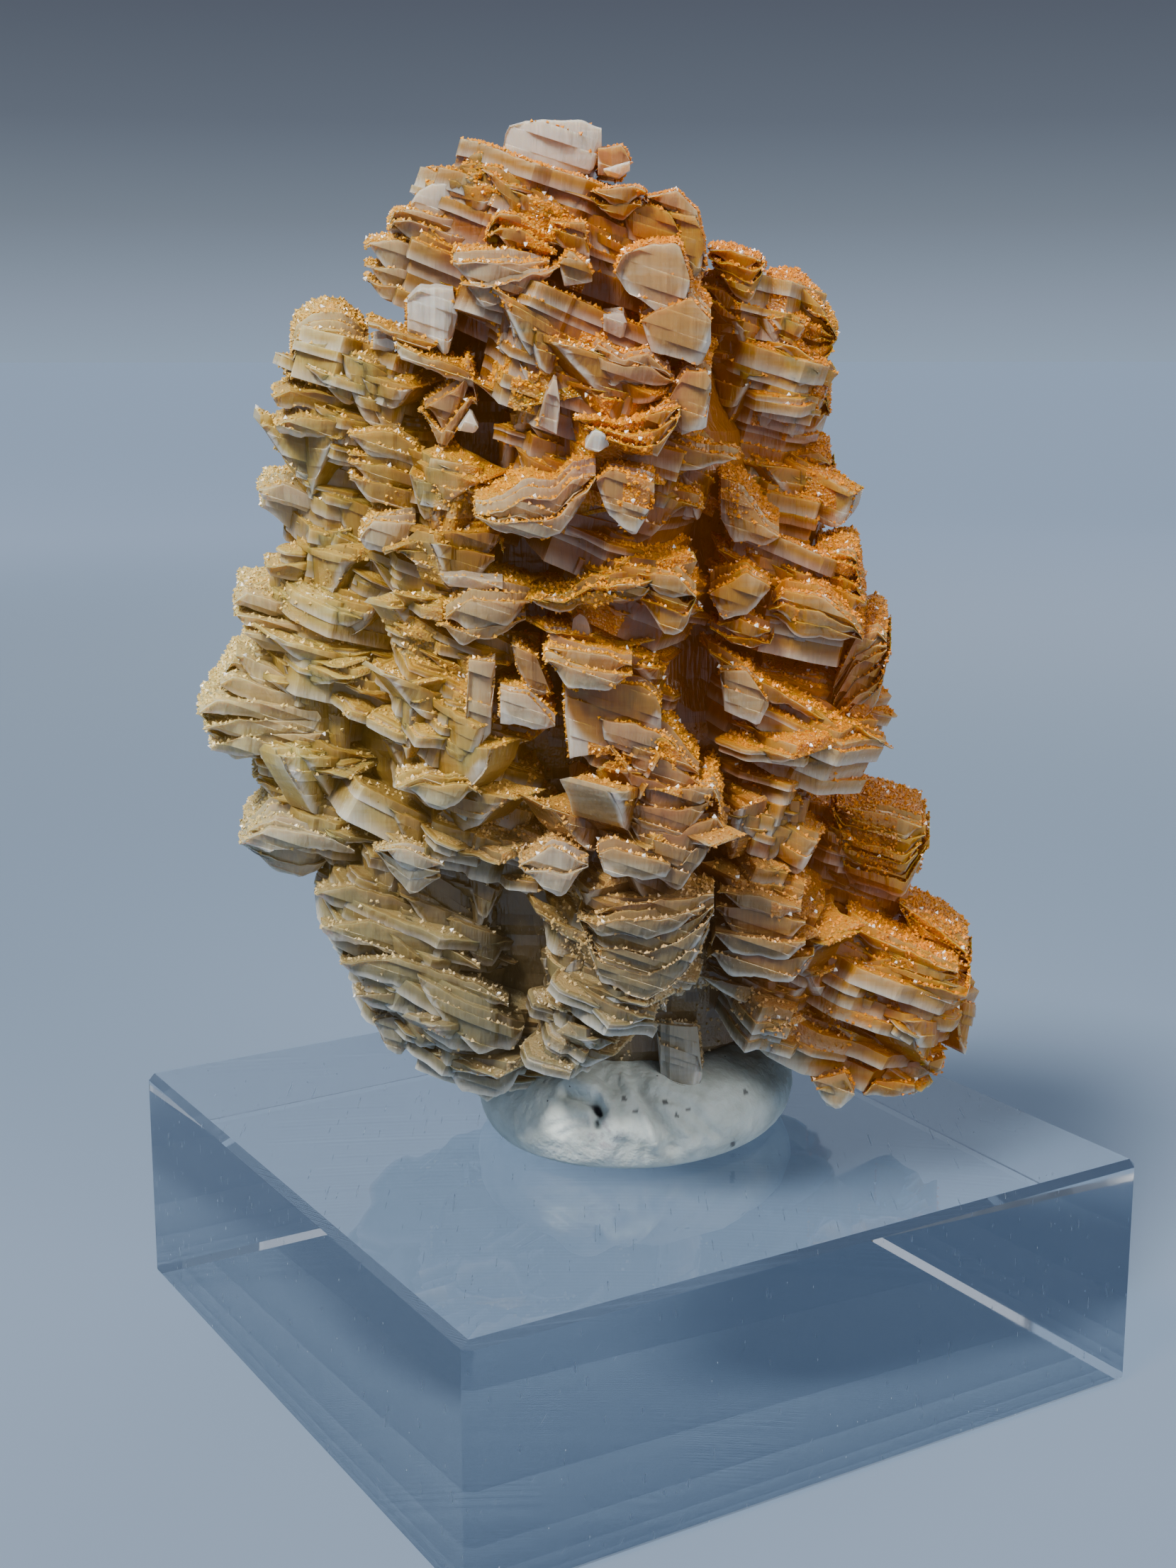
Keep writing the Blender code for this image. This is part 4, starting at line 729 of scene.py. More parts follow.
def ledge_shell(form, facing, corners, spacing, chance, notch=LAYER_NOTCH, hollow=HOLLOW_DEPTH, stairs=2,
                coated=1.0):
    """One ledge: a stepped floor of micro-crystals, a bare rim, and a wall of layers, some of which stand
    out in places and some of which leave a hollow."""
    points, ways, places, length = rim_outline(form, corners, facing, spacing, chance)
    layers = max(2, round(form.thickness / LAYER_THICKNESS))
    grooves = flutes(places, LEDGE_FLUTES, chance)
    notches = notch * steps(places, length, NOTCH_SPACING, chance) ** 2
    lens = hollow * np.clip(swing(places, HOLLOW_SWING, chance) - HOLLOW_RARITY, 0, 1)
    top = form.thickness / 2
    foot = -top - LEDGE_OVERLAP
    cuts = np.cumsum([chance.uniform(*LAYER_SHARES) for _ in range(layers)])
    heights = [top] + list(top - form.thickness * cuts[:-1] / cuts[-1]) + [foot]
    sway = swing(places, FLOOR_SWAY, chance)
    limit = min(form.half_width, form.half_depth)
    hollow_layer = chance.uniform(*HOLLOW_LAYERS) * layers

    def ring(out, height, share=1.0):
        reach = points * share + ways * np.maximum(out, -DEEPEST_CUT * limit)[:, None]
        return np.column_stack([reach, height])

    def reach_of(layer):
        standing = LAYER_WANDER * np.clip(swing(places, LAYER_SWING, chance), *LAYER_RANGE)
        drawn_in = lens * max(0.0, 1 - abs(layer + 0.5 - hollow_layer) / HOLLOW_SPAN)
        return standing + grooves - notches - drawn_in - UNDERCUT * layer / layers

    reach = reach_of(0)
    floor = top + sway + swing(places, FLOOR_RIPPLE, chance)
    treads = terraces(places, chance, stairs if limit > LEAST_STEPPED else 0)
    rings = [ring(0 * reach, floor + treads[-1][1] + MIDDLE_RISE, MIDDLE_SHARE)]
    bands = [COATED]
    rims = [0.0]
    for back, high, coat in reversed(treads):
        rings.append(ring(reach - back, floor + high))
        bands.append(coat)
        rims.append(TREAD_RIM)
    last_reach = reach
    for layer in range(layers):
        if layer:
            reach = reach_of(layer)
            bands.append(np.where(reach > last_reach + COATED_STEP, 1.0, 0.0))
        upper = floor if layer == 0 else heights[layer] + sway
        rings.append(ring(reach, upper))
        rings.append(ring(reach - LAYER_SLOPE, np.minimum(heights[layer + 1] + sway, upper - THINNEST)))
        bands.append(0.0)
        rims += LAYER_RIMS
        last_reach = reach
    bands = coated * np.array([np.broadcast_to(band, places.shape) for band in bands])
    rims = np.array([np.full(len(places), value) for value in rims])
    return shell_of(np.array(rings) @ np.array(form.turn).T + np.array(form.centre), bands, rims)


# Leaves: single crystals with a fluted, layered face, carried back into the mass

def leaf_shell(places, tops, foots, locate, length, dip, bulge, chance, stairs, coated, lean=LEAN):
    """One crystal. places run along its face, and tops and foots are the heights of its upper and lower
    edge there. locate turns a place, a height and a depth behind the face into a point."""
    width = places[-1] - places[0]
    ragged = RAGGED * min(1.0, width / 3)

    def edge_of(rag, stairs_of):
        return swing(places, rag, chance) + stepped(places, width, stairs_of, chance) - stairs_of[0] / 2

    tops = tops + ragged * edge_of(TOP_RAG, TOP_STEPS)
    foots = np.minimum(foots + ragged * edge_of(FOOT_RAG, FOOT_STEPS), tops - THINNEST_LEAF)
    tilted = places * math.tan(math.radians(dip))
    levels = [(tops + tilted).max()]
    while levels[-1] > (foots + tilted).min():
        levels.append(levels[-1] - LAYER_THICKNESS * chance.uniform(*LEAF_LAYERS))
    middle = (places[0] + places[-1]) / 2
    side = np.abs((places - middle) / width * 2)
    grooves = flutes(places, LEAF_FLUTES, chance)
    base = min(DEEPEST_BULGE, bulge * width) * side ** SIDE_CURVE + grooves
    base = base + stepped(places, width, FACE_STEPS, chance, 3)
    base -= base.min()
    edges = [tops]
    depths = []
    for level in levels[1:-1]:
        standing = LEAF_WANDER * np.clip(swing(places, LEAF_SWING, chance), *LEAF_RANGE)
        depths.append(base + standing + stepped(places, width, LAYER_STEPS, chance, 3))
        edges.append(np.clip(level - tilted, foots, tops))
    depths.append(base + swing(places, LAST_SWING, chance))
    edges.append(foots)
    rings = []
    rims = []
    bands = []

    def add_ring(height, depth, rim):
        rings.append(locate(places, height, depth))
        rims.append(np.broadcast_to(rim, places.shape))

    for k, depth in enumerate(depths):
        for height in (edges[k], edges[k + 1]):
            share = (tops - height) / (tops - foots)
            rim = np.clip(share * FOOT_RIM + side ** 3 * SIDE_RIM, 0, 1)
            add_ring(height, depth + CURL * share ** 3, rim)
        bands.append(0.0)
        if k < len(depths) - 1:
            bands.append(np.where(depths[k + 1] < depth - COATED_STEP, 1.0, 0.0))
    rise = math.tan(math.radians(lean))
    for share in BURIED_SHARES:
        add_ring(foots + share * length * rise, depths[-1] + CURL + share * length, BURIED_RIM)
        bands.append(0.0)
    treads = terraces(places, chance, stairs)
    last_back, last_high, _ = treads[-1]
    left_over = np.maximum(length - last_back, LEAST_FLOOR)
    add_ring(tops + last_high + left_over * rise, depths[0] + last_back + left_over, BURIED_RIM)
    bands += [0.0, COATED * coated]
    for back, high, coat in reversed(treads):
        add_ring(tops + high, depths[0] + back, LEAF_TREAD_RIM)
        bands.append(coat * coated)
    around = len(rings)
    bands = np.array([np.broadcast_to(band, places.shape) for band in bands]).T[:-1]
    bands = bands.reshape(len(places) - 1, around)
    return shell_of(np.array(rings).transpose(1, 0, 2), bands, np.array(rims).T)


def traced_leaves(near, length, outline, parts, chance, bulge, stairs, coated):
    """A crystal whose near face is traced in pixels of the photograph, as a stack of so many plates."""
    corners = np.array(outline, float)
    loop = np.vstack([corners, corners[:1]])
    left = corners[:, 0].min()
    right = corners[:, 0].max()
    pixels = FOCAL_PIXELS / (near - VIEWPOINT.y)
    edge = (right - left) * TRACED_EDGE
    count = max(FEWEST_PLACES, round((right - left) / pixels / LEAF_SPACING))
    columns = np.linspace(left + edge, right - edge, count)
    tops = np.empty(len(columns))
    foots = np.empty(len(columns))
    for k, column in enumerate(columns):
        rows = [a[1] + (column - a[0]) / (b[0] - a[0]) * (b[1] - a[1]) for a, b in zip(loop, loop[1:])
                if (a[0] - column) * (b[0] - column) <= 0 and a[0] != b[0]]
        tops[k] = -min(rows) / pixels
        foots[k] = -max(rows) / pixels
    slope = min(LEAN, (corners[:, 1].min() - FLAT_ROW) * LEAN_PER_ROW)
    places = (columns - left) / pixels
    cuts = np.cumsum([0.0] + [chance.uniform(*SPLIT_SHARES) for _ in range(parts)])
    cuts = cuts / cuts[-1]
    shells = []
    for part in range(parts):
        first = 0
        last = len(places)
        out = 0.0
        if parts > 1:
            first = int(last * chance.uniform(0, SPLIT_END))
            last = last - int(last * chance.uniform(0, SPLIT_END))
            out = chance.uniform(*SPLIT_OUT)
        here = places[first:last]
        span = (tops - foots)[first:last]
        upper = tops[first:last] - cuts[part] * span
        height = (cuts[part + 1] - cuts[part]) * span
        if parts > 1:
            ends = np.minimum(here - here[0], here[-1] - here)
            height = (height + SPLIT_OVERLAP) * np.clip(ends / TAPER, THIN_END, 1)

        def locate(along, high, depth, out=out):
            return seen(left + along * pixels, -high * pixels, near + depth + out)

        steps_here = 0 if slope <= LEAST_SLOPE else stairs if part == 0 else min(stairs, 1)
        shells.append(leaf_shell(here, upper, upper - height, locate, length, TRACED_DIP, bulge, chance,
                                 steps_here, coated, slope))
    return shells


def rim_leaf(form, facing, dip, chance, coated, on_top, at_foot):
    """A leaf that stands on a ledge's wall, with a straight upper edge and a rounded lower one."""
    angle = facing * math.radians(chance.uniform(*LEAF_ANGLES))
    x, y = rim_point(form, angle)
    ahead = Vector(rim_point(form, angle + LOOK_AHEAD * facing)) - Vector((x, y))
    tangent = form.turn @ Vector((ahead.x, ahead.y, 0)).normalized() * -facing
    tangent.z = 0
    tangent.normalize()
    way = Vector((-tangent.y, tangent.x, 0)) * -1
    if way.dot(Vector((x, y, 0))) < 0:
        way = -way
    width = chance.uniform(*LEAF_WIDTH) * min(1.0, form.half_width / 3) * (TOP_LEAF if on_top else 1)
    width = min(width, SIDE_LEAF + FRONT_LEAF * abs(math.sin(angle)) ** 2)
    height = chance.uniform(*LEAF_HEIGHT) * (FOOT_LEAF if at_foot else 1)
    out = chance.uniform(*LEAF_OUT) - width ** 2 / (form.half_width + form.half_depth) * LEAF_SINK
    level = chance.uniform(*LEAF_LEVEL) - (TOP_LEAF_DROP if on_top else 0)
    start = form.turn @ Vector((x, y, level * form.thickness)) + form.centre
    start = start + way * out - tangent * width / 2
    places = np.linspace(0.0, width, max(FEWEST_PLACES, round(width / LEAF_SPACING)))
    share = places / width
    along_dip = (dip + chance.uniform(*EXTRA_DIP)) * (-tangent.x) + chance.uniform(-LEAF_TILT, LEAF_TILT)
    skew = chance.uniform(*LEAF_SKEW)
    tops = places * math.tan(math.radians(along_dip)) + swing(places, LEAF_TOP, chance)
    drop = height * np.clip(np.sin(np.pi * share ** skew), 0, 1) ** chance.uniform(*LEAF_FULLNESS)
    foots = tops - np.maximum(drop * (1 + swing(places, LEAF_FOOT, chance)), THINNEST)
    yaw = chance.uniform(-LEAF_YAW, LEAF_YAW)

    def locate(along, high, depth):
        inward = depth + yaw * (along - width / 2)
        flat = start.x + tangent.x * along - way.x * inward, start.y + tangent.y * along - way.y * inward
        return np.stack([flat[0], flat[1], start.z + high], axis=-1)

    length = chance.uniform(*LEAF_LENGTH)
    return leaf_shell(places, tops, foots, locate, length, -along_dip, LEAF_BULGE, chance, 1, coated)


def core_shell(chance):
    """The body that the columns share, so that the clefts have a floor."""
    around = np.arange(CORE_SIDES) * math.tau / CORE_SIDES
    places = np.arange(CORE_SIDES) * CORE_SPACING
    levels = np.array(CORE_RINGS, float)
    loops = []
    drift = wave(places / CORE_WAVE, chance)
    for row in np.arange(levels[0, 0], levels[-1, 0], CORE_STEP):
        left, right, near, far = (np.interp(row, levels[:, 0], levels[:, k]) for k in range(1, 5))
        middle = (near + far) / 2
        left_point = seen(left, row, middle)
        right_point = seen(right, row, middle)
        drift = CORE_KEPT * drift + CORE_NEW * wave(places / CORE_WAVE, chance)
        uneven = 1 + CORE_UNEVEN * drift
        x = np.sign(np.cos(around)) * np.abs(np.cos(around)) ** CORE_ROUND * (right_point - left_point)[0] / 2
        y = np.sign(np.sin(around)) * np.abs(np.sin(around)) ** CORE_ROUND * (far - near) / 2
        loops.append((left_point + right_point) / 2 + np.column_stack([x * uneven, y * uneven, 0 * x]))
    rings = np.array(loops)
    return shell_of(rings, np.zeros((len(rings) - 1, CORE_SIDES)), np.zeros(rings.shape[:2]))


# Pieces: shells gathered into meshes that know how deep each point lies

def blurred(grid, axis):
    return (np.roll(grid, 1, axis) + np.roll(grid, -1, axis) + grid) / 3


def mass_grid(shells):
    """How full the space is of crystal, as a blurred grid from 0 to 1."""
    grid = np.zeros(GRID_SHAPE)
    for shell in shells:
        rings = shell.rings[::2, ::3]
        centres = rings.mean(1, keepdims=True)
        inside = np.concatenate([centres + (rings - centres) * share for share in FILLED_SHARES])
        cells = np.floor((inside.reshape(-1, 3) - GRID_LOW) / CELL).astype(int)
        cells = np.clip(cells, 0, np.array(GRID_SHAPE) - 1)
        grid[cells[:, 0], cells[:, 1], cells[:, 2]] = 1
    for _ in range(3):
        for axis in range(3):
            grid = blurred(grid, axis)
    return grid


def patch_grid(chance):
    """Smooth random values from 0 to 1 through the same space, for where hollows are coated."""
    grid = chance.random(GRID_SHAPE)
    for axis in range(3):
        grid = blurred(grid, axis)
    return np.clip(0.5 + PATCH_CONTRAST * ((grid - grid.mean()) / grid.std()), 0, 1)


def sample(grid, points):
    """The grid's value at each point, between its cells."""
    place = np.clip((points - GRID_LOW) / CELL - 0.5, 0, np.array(GRID_SHAPE) - 1.001)
    low = np.floor(place).astype(int)
    share = place - low
    value = np.zeros(len(points))
    for corner in range(8):
        step = np.array([corner & 1, corner >> 1 & 1, corner >> 2 & 1])
        weight = np.prod(np.where(step == 1, share, 1 - share), axis=1)
        cell = low + step
        value += weight * grid[cell[:, 0], cell[:, 1], cell[:, 2]]
    return value


def set_faces(mesh, quads, fans):
    """Fills a mesh with faces of four corners and of three."""
    corners = np.concatenate([quads.reshape(-1), fans.reshape(-1)])
    starts = np.concatenate([np.arange(len(quads)) * 4, len(quads) * 4 + np.arange(len(fans)) * 3])
    mesh.loops.add(len(corners))
    mesh.loops.foreach_set("vertex_index", corners.astype(np.int32))
    mesh.polygons.add(len(starts))
    mesh.polygons.foreach_set("loop_start", starts.astype(np.int32))


def mark(mesh, name, values, domain="POINT"):
    """Keeps one number for each point or face of a mesh, for the materials and the micro-crystals."""
    mesh.attributes.new(name, "FLOAT", domain).data.foreach_set("value", values.astype(np.float32))


def add_object(name, data):
    made = bpy.data.objects.new(name, data)
    bpy.context.scene.collection.objects.link(made)
    return made


def evaluated_mesh(thing):
    bpy.context.view_layer.update()
    return bpy.data.meshes.new_from_object(thing.evaluated_get(bpy.context.evaluated_depsgraph_get()))


def piece_of(name, shells, grid, patches, finish):
    """One mesh of several shells, in the block's frame, with how deep each point lies in the mass and
    which faces carry micro-crystals."""
    points = np.concatenate([shell.points for shell in shells])
    starts = np.cumsum([0] + [len(shell.points) for shell in shells[:-1]])
    quads = np.concatenate([shell.quads + start for shell, start in zip(shells, starts)])
    fans = np.concatenate([shell.fans + start for shell, start in zip(shells, starts)])
    quad_druse = np.concatenate([shell.druse[:len(shell.quads)] for shell in shells])
    fan_druse = np.concatenate([shell.druse[len(shell.quads):] for shell in shells])
    mesh = bpy.data.meshes.new(name)
    mesh.vertices.add(len(points))
    mesh.vertices.foreach_set("co", points.astype(np.float32).reshape(-1))
    set_faces(mesh, quads, fans)
    mesh.update(calc_edges=True)
    mesh.validate()
    normals = np.empty(len(points) * 3, np.float32)
    mesh.vertices.foreach_get("normal", normals)
    # How deep each point lies: it sets where micro-crystals are buried, and the painted shade and glow of the
    # plates.
    over = sample(grid, points + LOOK_OUT * normals.reshape(-1, 3))
    if name == CORE_NAME:
        over = np.maximum(over, CLEFT_DEPTH)
    pale = np.concatenate([np.full(len(shell.points), shell.pale) for shell in shells])
    first = np.concatenate([quads[:, 0], fans[:, 0]])
    hollow = np.clip((over[first] - HOLLOW_FROM) / HOLLOW_BLEND, 0, 1) * (pale[first] < BARE_FROM)
    share = HOLLOW_SHARES.get(name.partition("_plates")[0], 1.0)
    coated = hollow * (sample(patches, points[first]) > HOLLOW_COAT) * HOLLOW_SHARE * share
    mark(mesh, "pale", pale)
    mark(mesh, "druse", np.maximum(coated, np.concatenate([quad_druse, fan_druse])), "FACE")
    mark(mesh, "recess", over)
    mark(mesh, "rim", np.concatenate([shell.rim for shell in shells]))
    mesh.transform(to_block_frame())
    mesh.shade_flat()
    mesh.materials.append(finish)
    return add_object(name, mesh)


def small_blades(form, facing, dip, lean, how_many, coated, detail):
    """Thin blades that grow out of a ledge's rim on the side that shows."""
    shells = []
    for _ in range(detail.randint(*how_many)):
        angle = facing * math.radians(detail.uniform(*SMALL_BLADE_ANGLES))
        x, y = rim_point(form, angle)
        radius = detail.uniform(*SMALL_BLADE_RADIUS)
        inset = 1 - (radius - detail.uniform(*BLADE_OUT)) / math.hypot(x, y)
        height = detail.uniform(*SMALL_BLADE_LEVEL) * form.thickness
        place = form.turn @ Vector((x * inset, y * inset, height)) + form.centre
        thickness = detail.uniform(*SMALL_BLADE_THICKNESS)
        blade = plate(place, radius, radius * detail.uniform(*SMALL_BLADE_WAIST), thickness,
                      dip + detail.uniform(*SMALL_BLADE_DIP), lean + detail.uniform(*SMALL_BLADE_LEAN),
                      detail)
        shells.append(ledge_shell(blade, 0, SMALL_BLADE_CORNERS, SMALL_BLADE_SPACING, detail,
                                  SMALL_BLADE_NOTCH, SMALL_BLADE_HOLLOW, coated=coated))
    return shells


def back_blade(ledge, dip, chance):
    """The blade on the far rim of a ledge of the back, where the solids have it."""
    centre, half_width, half_depth, thickness = ledge
    angle = math.radians(chance.uniform(*BLADE_ANGLES))
    radius = chance.uniform(*BLADE_RADIUS)
    across = math.cos(angle) * half_width * BLADE_PLACE
    away = math.sin(angle) * half_depth * BLADE_PLACE
    rise = chance.uniform(-0.5, 0.5) * thickness
    thick = thickness * chance.uniform(*BLADE_THICKNESS)
    waist = radius * chance.uniform(*BLADE_WAIST)
    return plate(centre + Vector((across, away, rise)), radius, waist, thick, dip, -LEAN, chance)


def grow_columns(chance, detail):
    """Every ledge of every column, with the blades and leaves that stand on it, as lists of shells."""
    grown = {}
    for name, (near, far, thickness, dip, rows) in COLUMNS.items():
        at_back = near >= 0
        facing = 1 if at_back else -1
        spacing = FRONT_SPACING * (BACK_SPACING if at_back else 1)
        coated = DRUSE_SHARES.get(name, 1.0)
        how_many = LEFT_BLADES if name in FLAKY else SMALL_BLADES
        shells = []
        found = ledges(near, far, thickness, rows, chance)
        for number, ledge in enumerate(found):
            lean = min(LEAN, TOP_LEAN + LEAN_STEP * number) * -facing
            form = plate(*ledge, dip, lean, chance)
            stairs = 2 if number else 0
            shells.append(ledge_shell(form, facing, LEDGE_CORNERS, spacing, detail, stairs=stairs,
                                      coated=coated))
            shells += small_blades(form, facing, dip, lean, how_many, coated, detail)
            at_foot = number == len(found) - 1
            shells += [rim_leaf(form, facing, dip, detail, coated, number == 0, at_foot)
                       for _ in range(detail.randint(*LEAVES))]
            if at_back and chance.random() < BLADE_SHARE:
                shells.append(ledge_shell(back_blade(ledge, dip, chance), 0, BLADE_CORNERS, spacing, detail))
        grown[name] = shells
    return grown


def grow_crystals(detail):
    """The traced crystals, gathered by the part of the specimen that they stand in."""
    groups = {"crown": [], "left": [], "middle": [], "right": [], "foot": []}
    for name, (near, length, outline) in {**CRYSTALS, **SLIVERS}.items():
        pale = PALE_CRYSTALS.get(name, 0.0)
        bare = pale > 0.5
        thin = name in SLIVERS
        bulge = SLIVER_BULGE if thin else CRYSTAL_BULGE
        stairs = 0 if bare or thin else 2
        coated = BARE_COAT if bare else SLIVER_COAT if thin else COATED
        shells = traced_leaves(near, length, outline, SPLITS.get(name, 1), detail, bulge, stairs, coated)
        column, row = np.mean(outline, axis=0)
        if row < CROWN_ROW:
            place = "crown"
        elif column < LEFT_COLUMN:
            place = "left" if row < FOOT_ROW else "foot"
        else:
            place = "middle" if column < MIDDLE_COLUMN else "right"
        groups[place] += [shell._replace(pale=pale) for shell in shells]
    return groups


# Nodes

def feed(made, values):
    """Gives each of a node's inputs a value, or the output that feeds it."""
    for socket, value in values.items():
        if isinstance(value, bpy.types.NodeSocket):
            made.id_data.links.new(value, made.inputs[socket])
        else:
            made.inputs[socket].default_value = value


def node(tree, kind, sockets=None, **settings):
    made = tree.nodes.new(kind)
    for key, value in settings.items():
        setattr(made, key, value)
    feed(made, sockets or {})
    return made


def maths(tree, operation, a, b, clamp=False):
    return node(tree, "ShaderNodeMath", {0: a, 1: b}, operation=operation, use_clamp=clamp).outputs[0]


def times(tree, a, b):
    return maths(tree, "MULTIPLY", a, b)


def plus(tree, a, b):
    return maths(tree, "ADD", a, b)


def minus(tree, a, b):
    return maths(tree, "SUBTRACT", a, b)


def spread(tree, value, low, high):
    """The value mapped from low..high to 0..1, eased and clamped."""
    sockets = {0: value, 1: low, 2: high}
    return node(tree, "ShaderNodeMapRange", sockets, interpolation_type="SMOOTHSTEP").outputs[0]


def mapped(tree, value, low, high, to_low=0.0, to_high=1.0):
    sockets = {0: value, 1: low, 2: high, 3: to_low, 4: to_high}
    return node(tree, "ShaderNodeMapRange", sockets).outputs[0]


def mixed(tree, factor, a, b, blend="MIX"):
    return node(tree, "ShaderNodeMix", {0: factor, 6: a, 7: b}, data_type="RGBA", blend_type=blend).outputs[2]


def shaded(tree, color, value, darkest, more):
    """The colour, made darker or lighter by a value from 0 to 1."""
    lit = plus(tree, darkest, times(tree, value, more))
    grey = node(tree, "ShaderNodeCombineColor", {0: lit, 1: lit, 2: lit}).outputs[0]
    return mixed(tree, 1.0, color, grey, blend="MULTIPLY")


def ramp(tree, factor, stops):
    """A colour ramp; stops are (place, colour)."""
    made = node(tree, "ShaderNodeValToRGB", {0: factor})
    elements = made.color_ramp.elements
    while len(elements) < len(stops):
        elements.new(0.5)
    for element, (place, color) in zip(elements, stops):
        element.position = place
        element.color = (*color, 1)
    return made.outputs[0]


def noise_at(tree, place, scale, detail):
    return node(tree, "ShaderNodeTexNoise", {"Vector": place, "Scale": scale, "Detail": detail}).outputs[0]


def cells_at(tree, place, scale):
    return node(tree, "ShaderNodeTexVoronoi", {"Vector": place, "Scale": scale}).outputs["Distance"]


def moved(tree, place, **values):
    return node(tree, "ShaderNodeMapping", {"Vector": place, **values}).outputs[0]


def object_place(tree):
    return node(tree, "ShaderNodeTexCoord").outputs["Object"]


def marked(tree, name):
    """The number that the mesh keeps under this name."""
    return node(tree, "ShaderNodeAttribute", attribute_name=name).outputs["Fac"]


def bump(tree, height, strength, distance):
    return node(tree, "ShaderNodeBump", {"Height": height, "Strength": strength,
                                         "Distance": distance}).outputs[0]


def group(name, outputs):
    tree = bpy.data.node_groups.new(name, "ShaderNodeTree")
    for socket, kind in outputs.items():
        tree.interface.new_socket(socket, in_out="OUTPUT", socket_type=kind)
    return tree, tree.nodes.new("NodeGroupOutput")


def placed(tree, shared):
    """A shared node group placed in a material."""
    return node(tree, "ShaderNodeGroup", node_tree=shared)


def specimen_places():
    """A node group: millimetres in the frame that the crystals grow in."""
    tree, out = group("specimen_places", {"Place": "NodeSocketVector"})
    turned = moved(tree, object_place(tree), Scale=(1 / MM, 1 / MM, 1 / MM), Rotation=(0, 0, BLOCK_TURN),
                   Location=(0, 0, -BLOCK_HEIGHT))
    feed(out, {"Place": turned})
    return tree


# Colours across the specimen, from its left to its right
BLADE_TINTS = [(0.0, (0.56, 0.50, 0.28)), (0.3, (0.44, 0.375, 0.22)), (0.5, (0.36, 0.26, 0.13)),
               (0.75, (0.39, 0.27, 0.13)), (1.0, (0.39, 0.25, 0.075))]
# The walls further in: the crystals' own honey colour, deepened by painted shade.
HONEY_TINTS = [(0.0, (0.46, 0.35, 0.10)), (0.3, (0.32, 0.20, 0.045)), (0.5, (0.26, 0.12, 0.014)),
               (0.75, (0.36, 0.165, 0.012)), (1.0, (0.42, 0.22, 0.014))]
# Painted shade and glow: the dark amber that the deepest hollows are painted in place of their shadow.
PAINTED_HOLLOW_TINTS = [(0.0, (0.30, 0.19, 0.03)), (0.3, (0.21, 0.105, 0.006)), (0.5, (0.18, 0.055, 0.002)),
                (0.75, (0.27, 0.085, 0.001)), (1.0, (0.34, 0.13, 0.002))]
DRUSE_TINTS = [(0.0, (0.66, 0.50, 0.18)), (0.22, (0.58, 0.35, 0.07)), (0.45, (0.62, 0.26, 0.004)),
               (0.62, (0.60, 0.21, 0.001)), (0.85, (0.56, 0.18, 0.001)), (1.0, (0.60, 0.26, 0.001))]
# The tints of each part, with the one that it has near the putty
TINTS = {"Blade": (BLADE_TINTS, (0.21, 0.205, 0.175, 1)), "Honey": (HONEY_TINTS, (0.14, 0.125, 0.07, 1)),
         "Painted Hollow": (PAINTED_HOLLOW_TINTS, (0.08, 0.06, 0.03, 1)), "Druse": (DRUSE_TINTS, (0.38, 0.29, 0.15, 1))}
# The pale crystals' own colour, also painted along edges as a highlight.
PALE_AND_HIGHLIGHT_TINT = (0.58, 0.54, 0.47, 1)
# The colour of the painted glints on the micro-crystals.
PAINTED_GLINT = (1, 0.97, 0.9, 1)
TINTED_HALF_WIDTH = 18.0  # millimetres
TINT_DRIFT = 14.0  # how far the tints wander to the sides, and how much of that up and down
TINT_RISE = 0.6
TINT_SLANT = 0.28  # how far they shift sideways with each millimetre of height
MIDDLE_HEIGHT = 24.0
LOW_HEIGHT = 9.0
LOW_SIDES = (12.0, 3.0)  # right of the first, nothing has the low tints
LOW_SHARE = 0.88


def specimen_tints(places):
    """A node group: the colours of outer faces, of walls further in, of the painted shade in the hollows, and
    of micro-crystals at each place.
    """
    tree, out = group("specimen_tints", {name: "NodeSocketColor" for name in TINTS})
    place = placed(tree, places).outputs["Place"]
    split = node(tree, "ShaderNodeSeparateXYZ", {0: place})
    drift = times(tree, minus(tree, noise_at(tree, place, 0.22, 3.0), 0.5), TINT_DRIFT)
    height = times(tree, minus(tree, split.outputs["Z"], MIDDLE_HEIGHT), TINT_SLANT)
    across = plus(tree, plus(tree, split.outputs["X"], height), drift)
    factor = mapped(tree, across, -TINTED_HALF_WIDTH, TINTED_HALF_WIDTH)
    low = minus(tree, split.outputs["Z"], times(tree, drift, TINT_RISE))
    low = times(tree, spread(tree, low, MIDDLE_HEIGHT, LOW_HEIGHT), LOW_SHARE)
    low = times(tree, low, spread(tree, split.outputs["X"], *LOW_SIDES))
    for name, (stops, low_tint) in TINTS.items():
        feed(out, {name: mixed(tree, low, ramp(tree, factor, stops), low_tint)})
    return tree


def new_material(name):
    finish = bpy.data.materials.new(name)
    finish.use_nodes = True
    return finish, finish.node_tree, finish.node_tree.nodes["Principled BSDF"]


# How a plate looks. Depths are shares of the mass over a face, as its mesh keeps them; the deeper a place,
# the more painted shade and glow it takes.
HONEY_DEPTHS = (0.0, 0.22)
HOLLOW_DEPTHS = (0.22, 0.46)
STREAK_TURN = (0, math.radians(-17), 0)
STREAK_STRETCH = (0.25, 0.25, 3.2)
STREAK_DEPTH = 0.32  # how much deeper or shallower a streak makes a place look
STRING_STRETCH = (6.0, 6.0, 0.4)
STRING_SHADES = (0.80, 0.42)
# Edges take less of the painted shade, and the most edge-like of them a painted highlight in the pale tint.
EDGE_DEPTH = 0.12  # how much shallower an edge looks
HIGHLIGHT_EDGES = (0.70, 0.95)
PALE_POWER = 1.6
MOST_COATED = 0.9
GRITS = 9.0  # to a millimetre
GRIT_HEIGHT = 1.6
STREAK_HEIGHT = 0.6
PLATE_ROUGHNESS = (0.08, 0.36)

# How the micro-crystals look
TONE_SHADES = (0.55, 0.75)
# The tones from which a grain is painted near white as a glint.
PAINTED_GLINT_TONES = (0.986, 0.99)


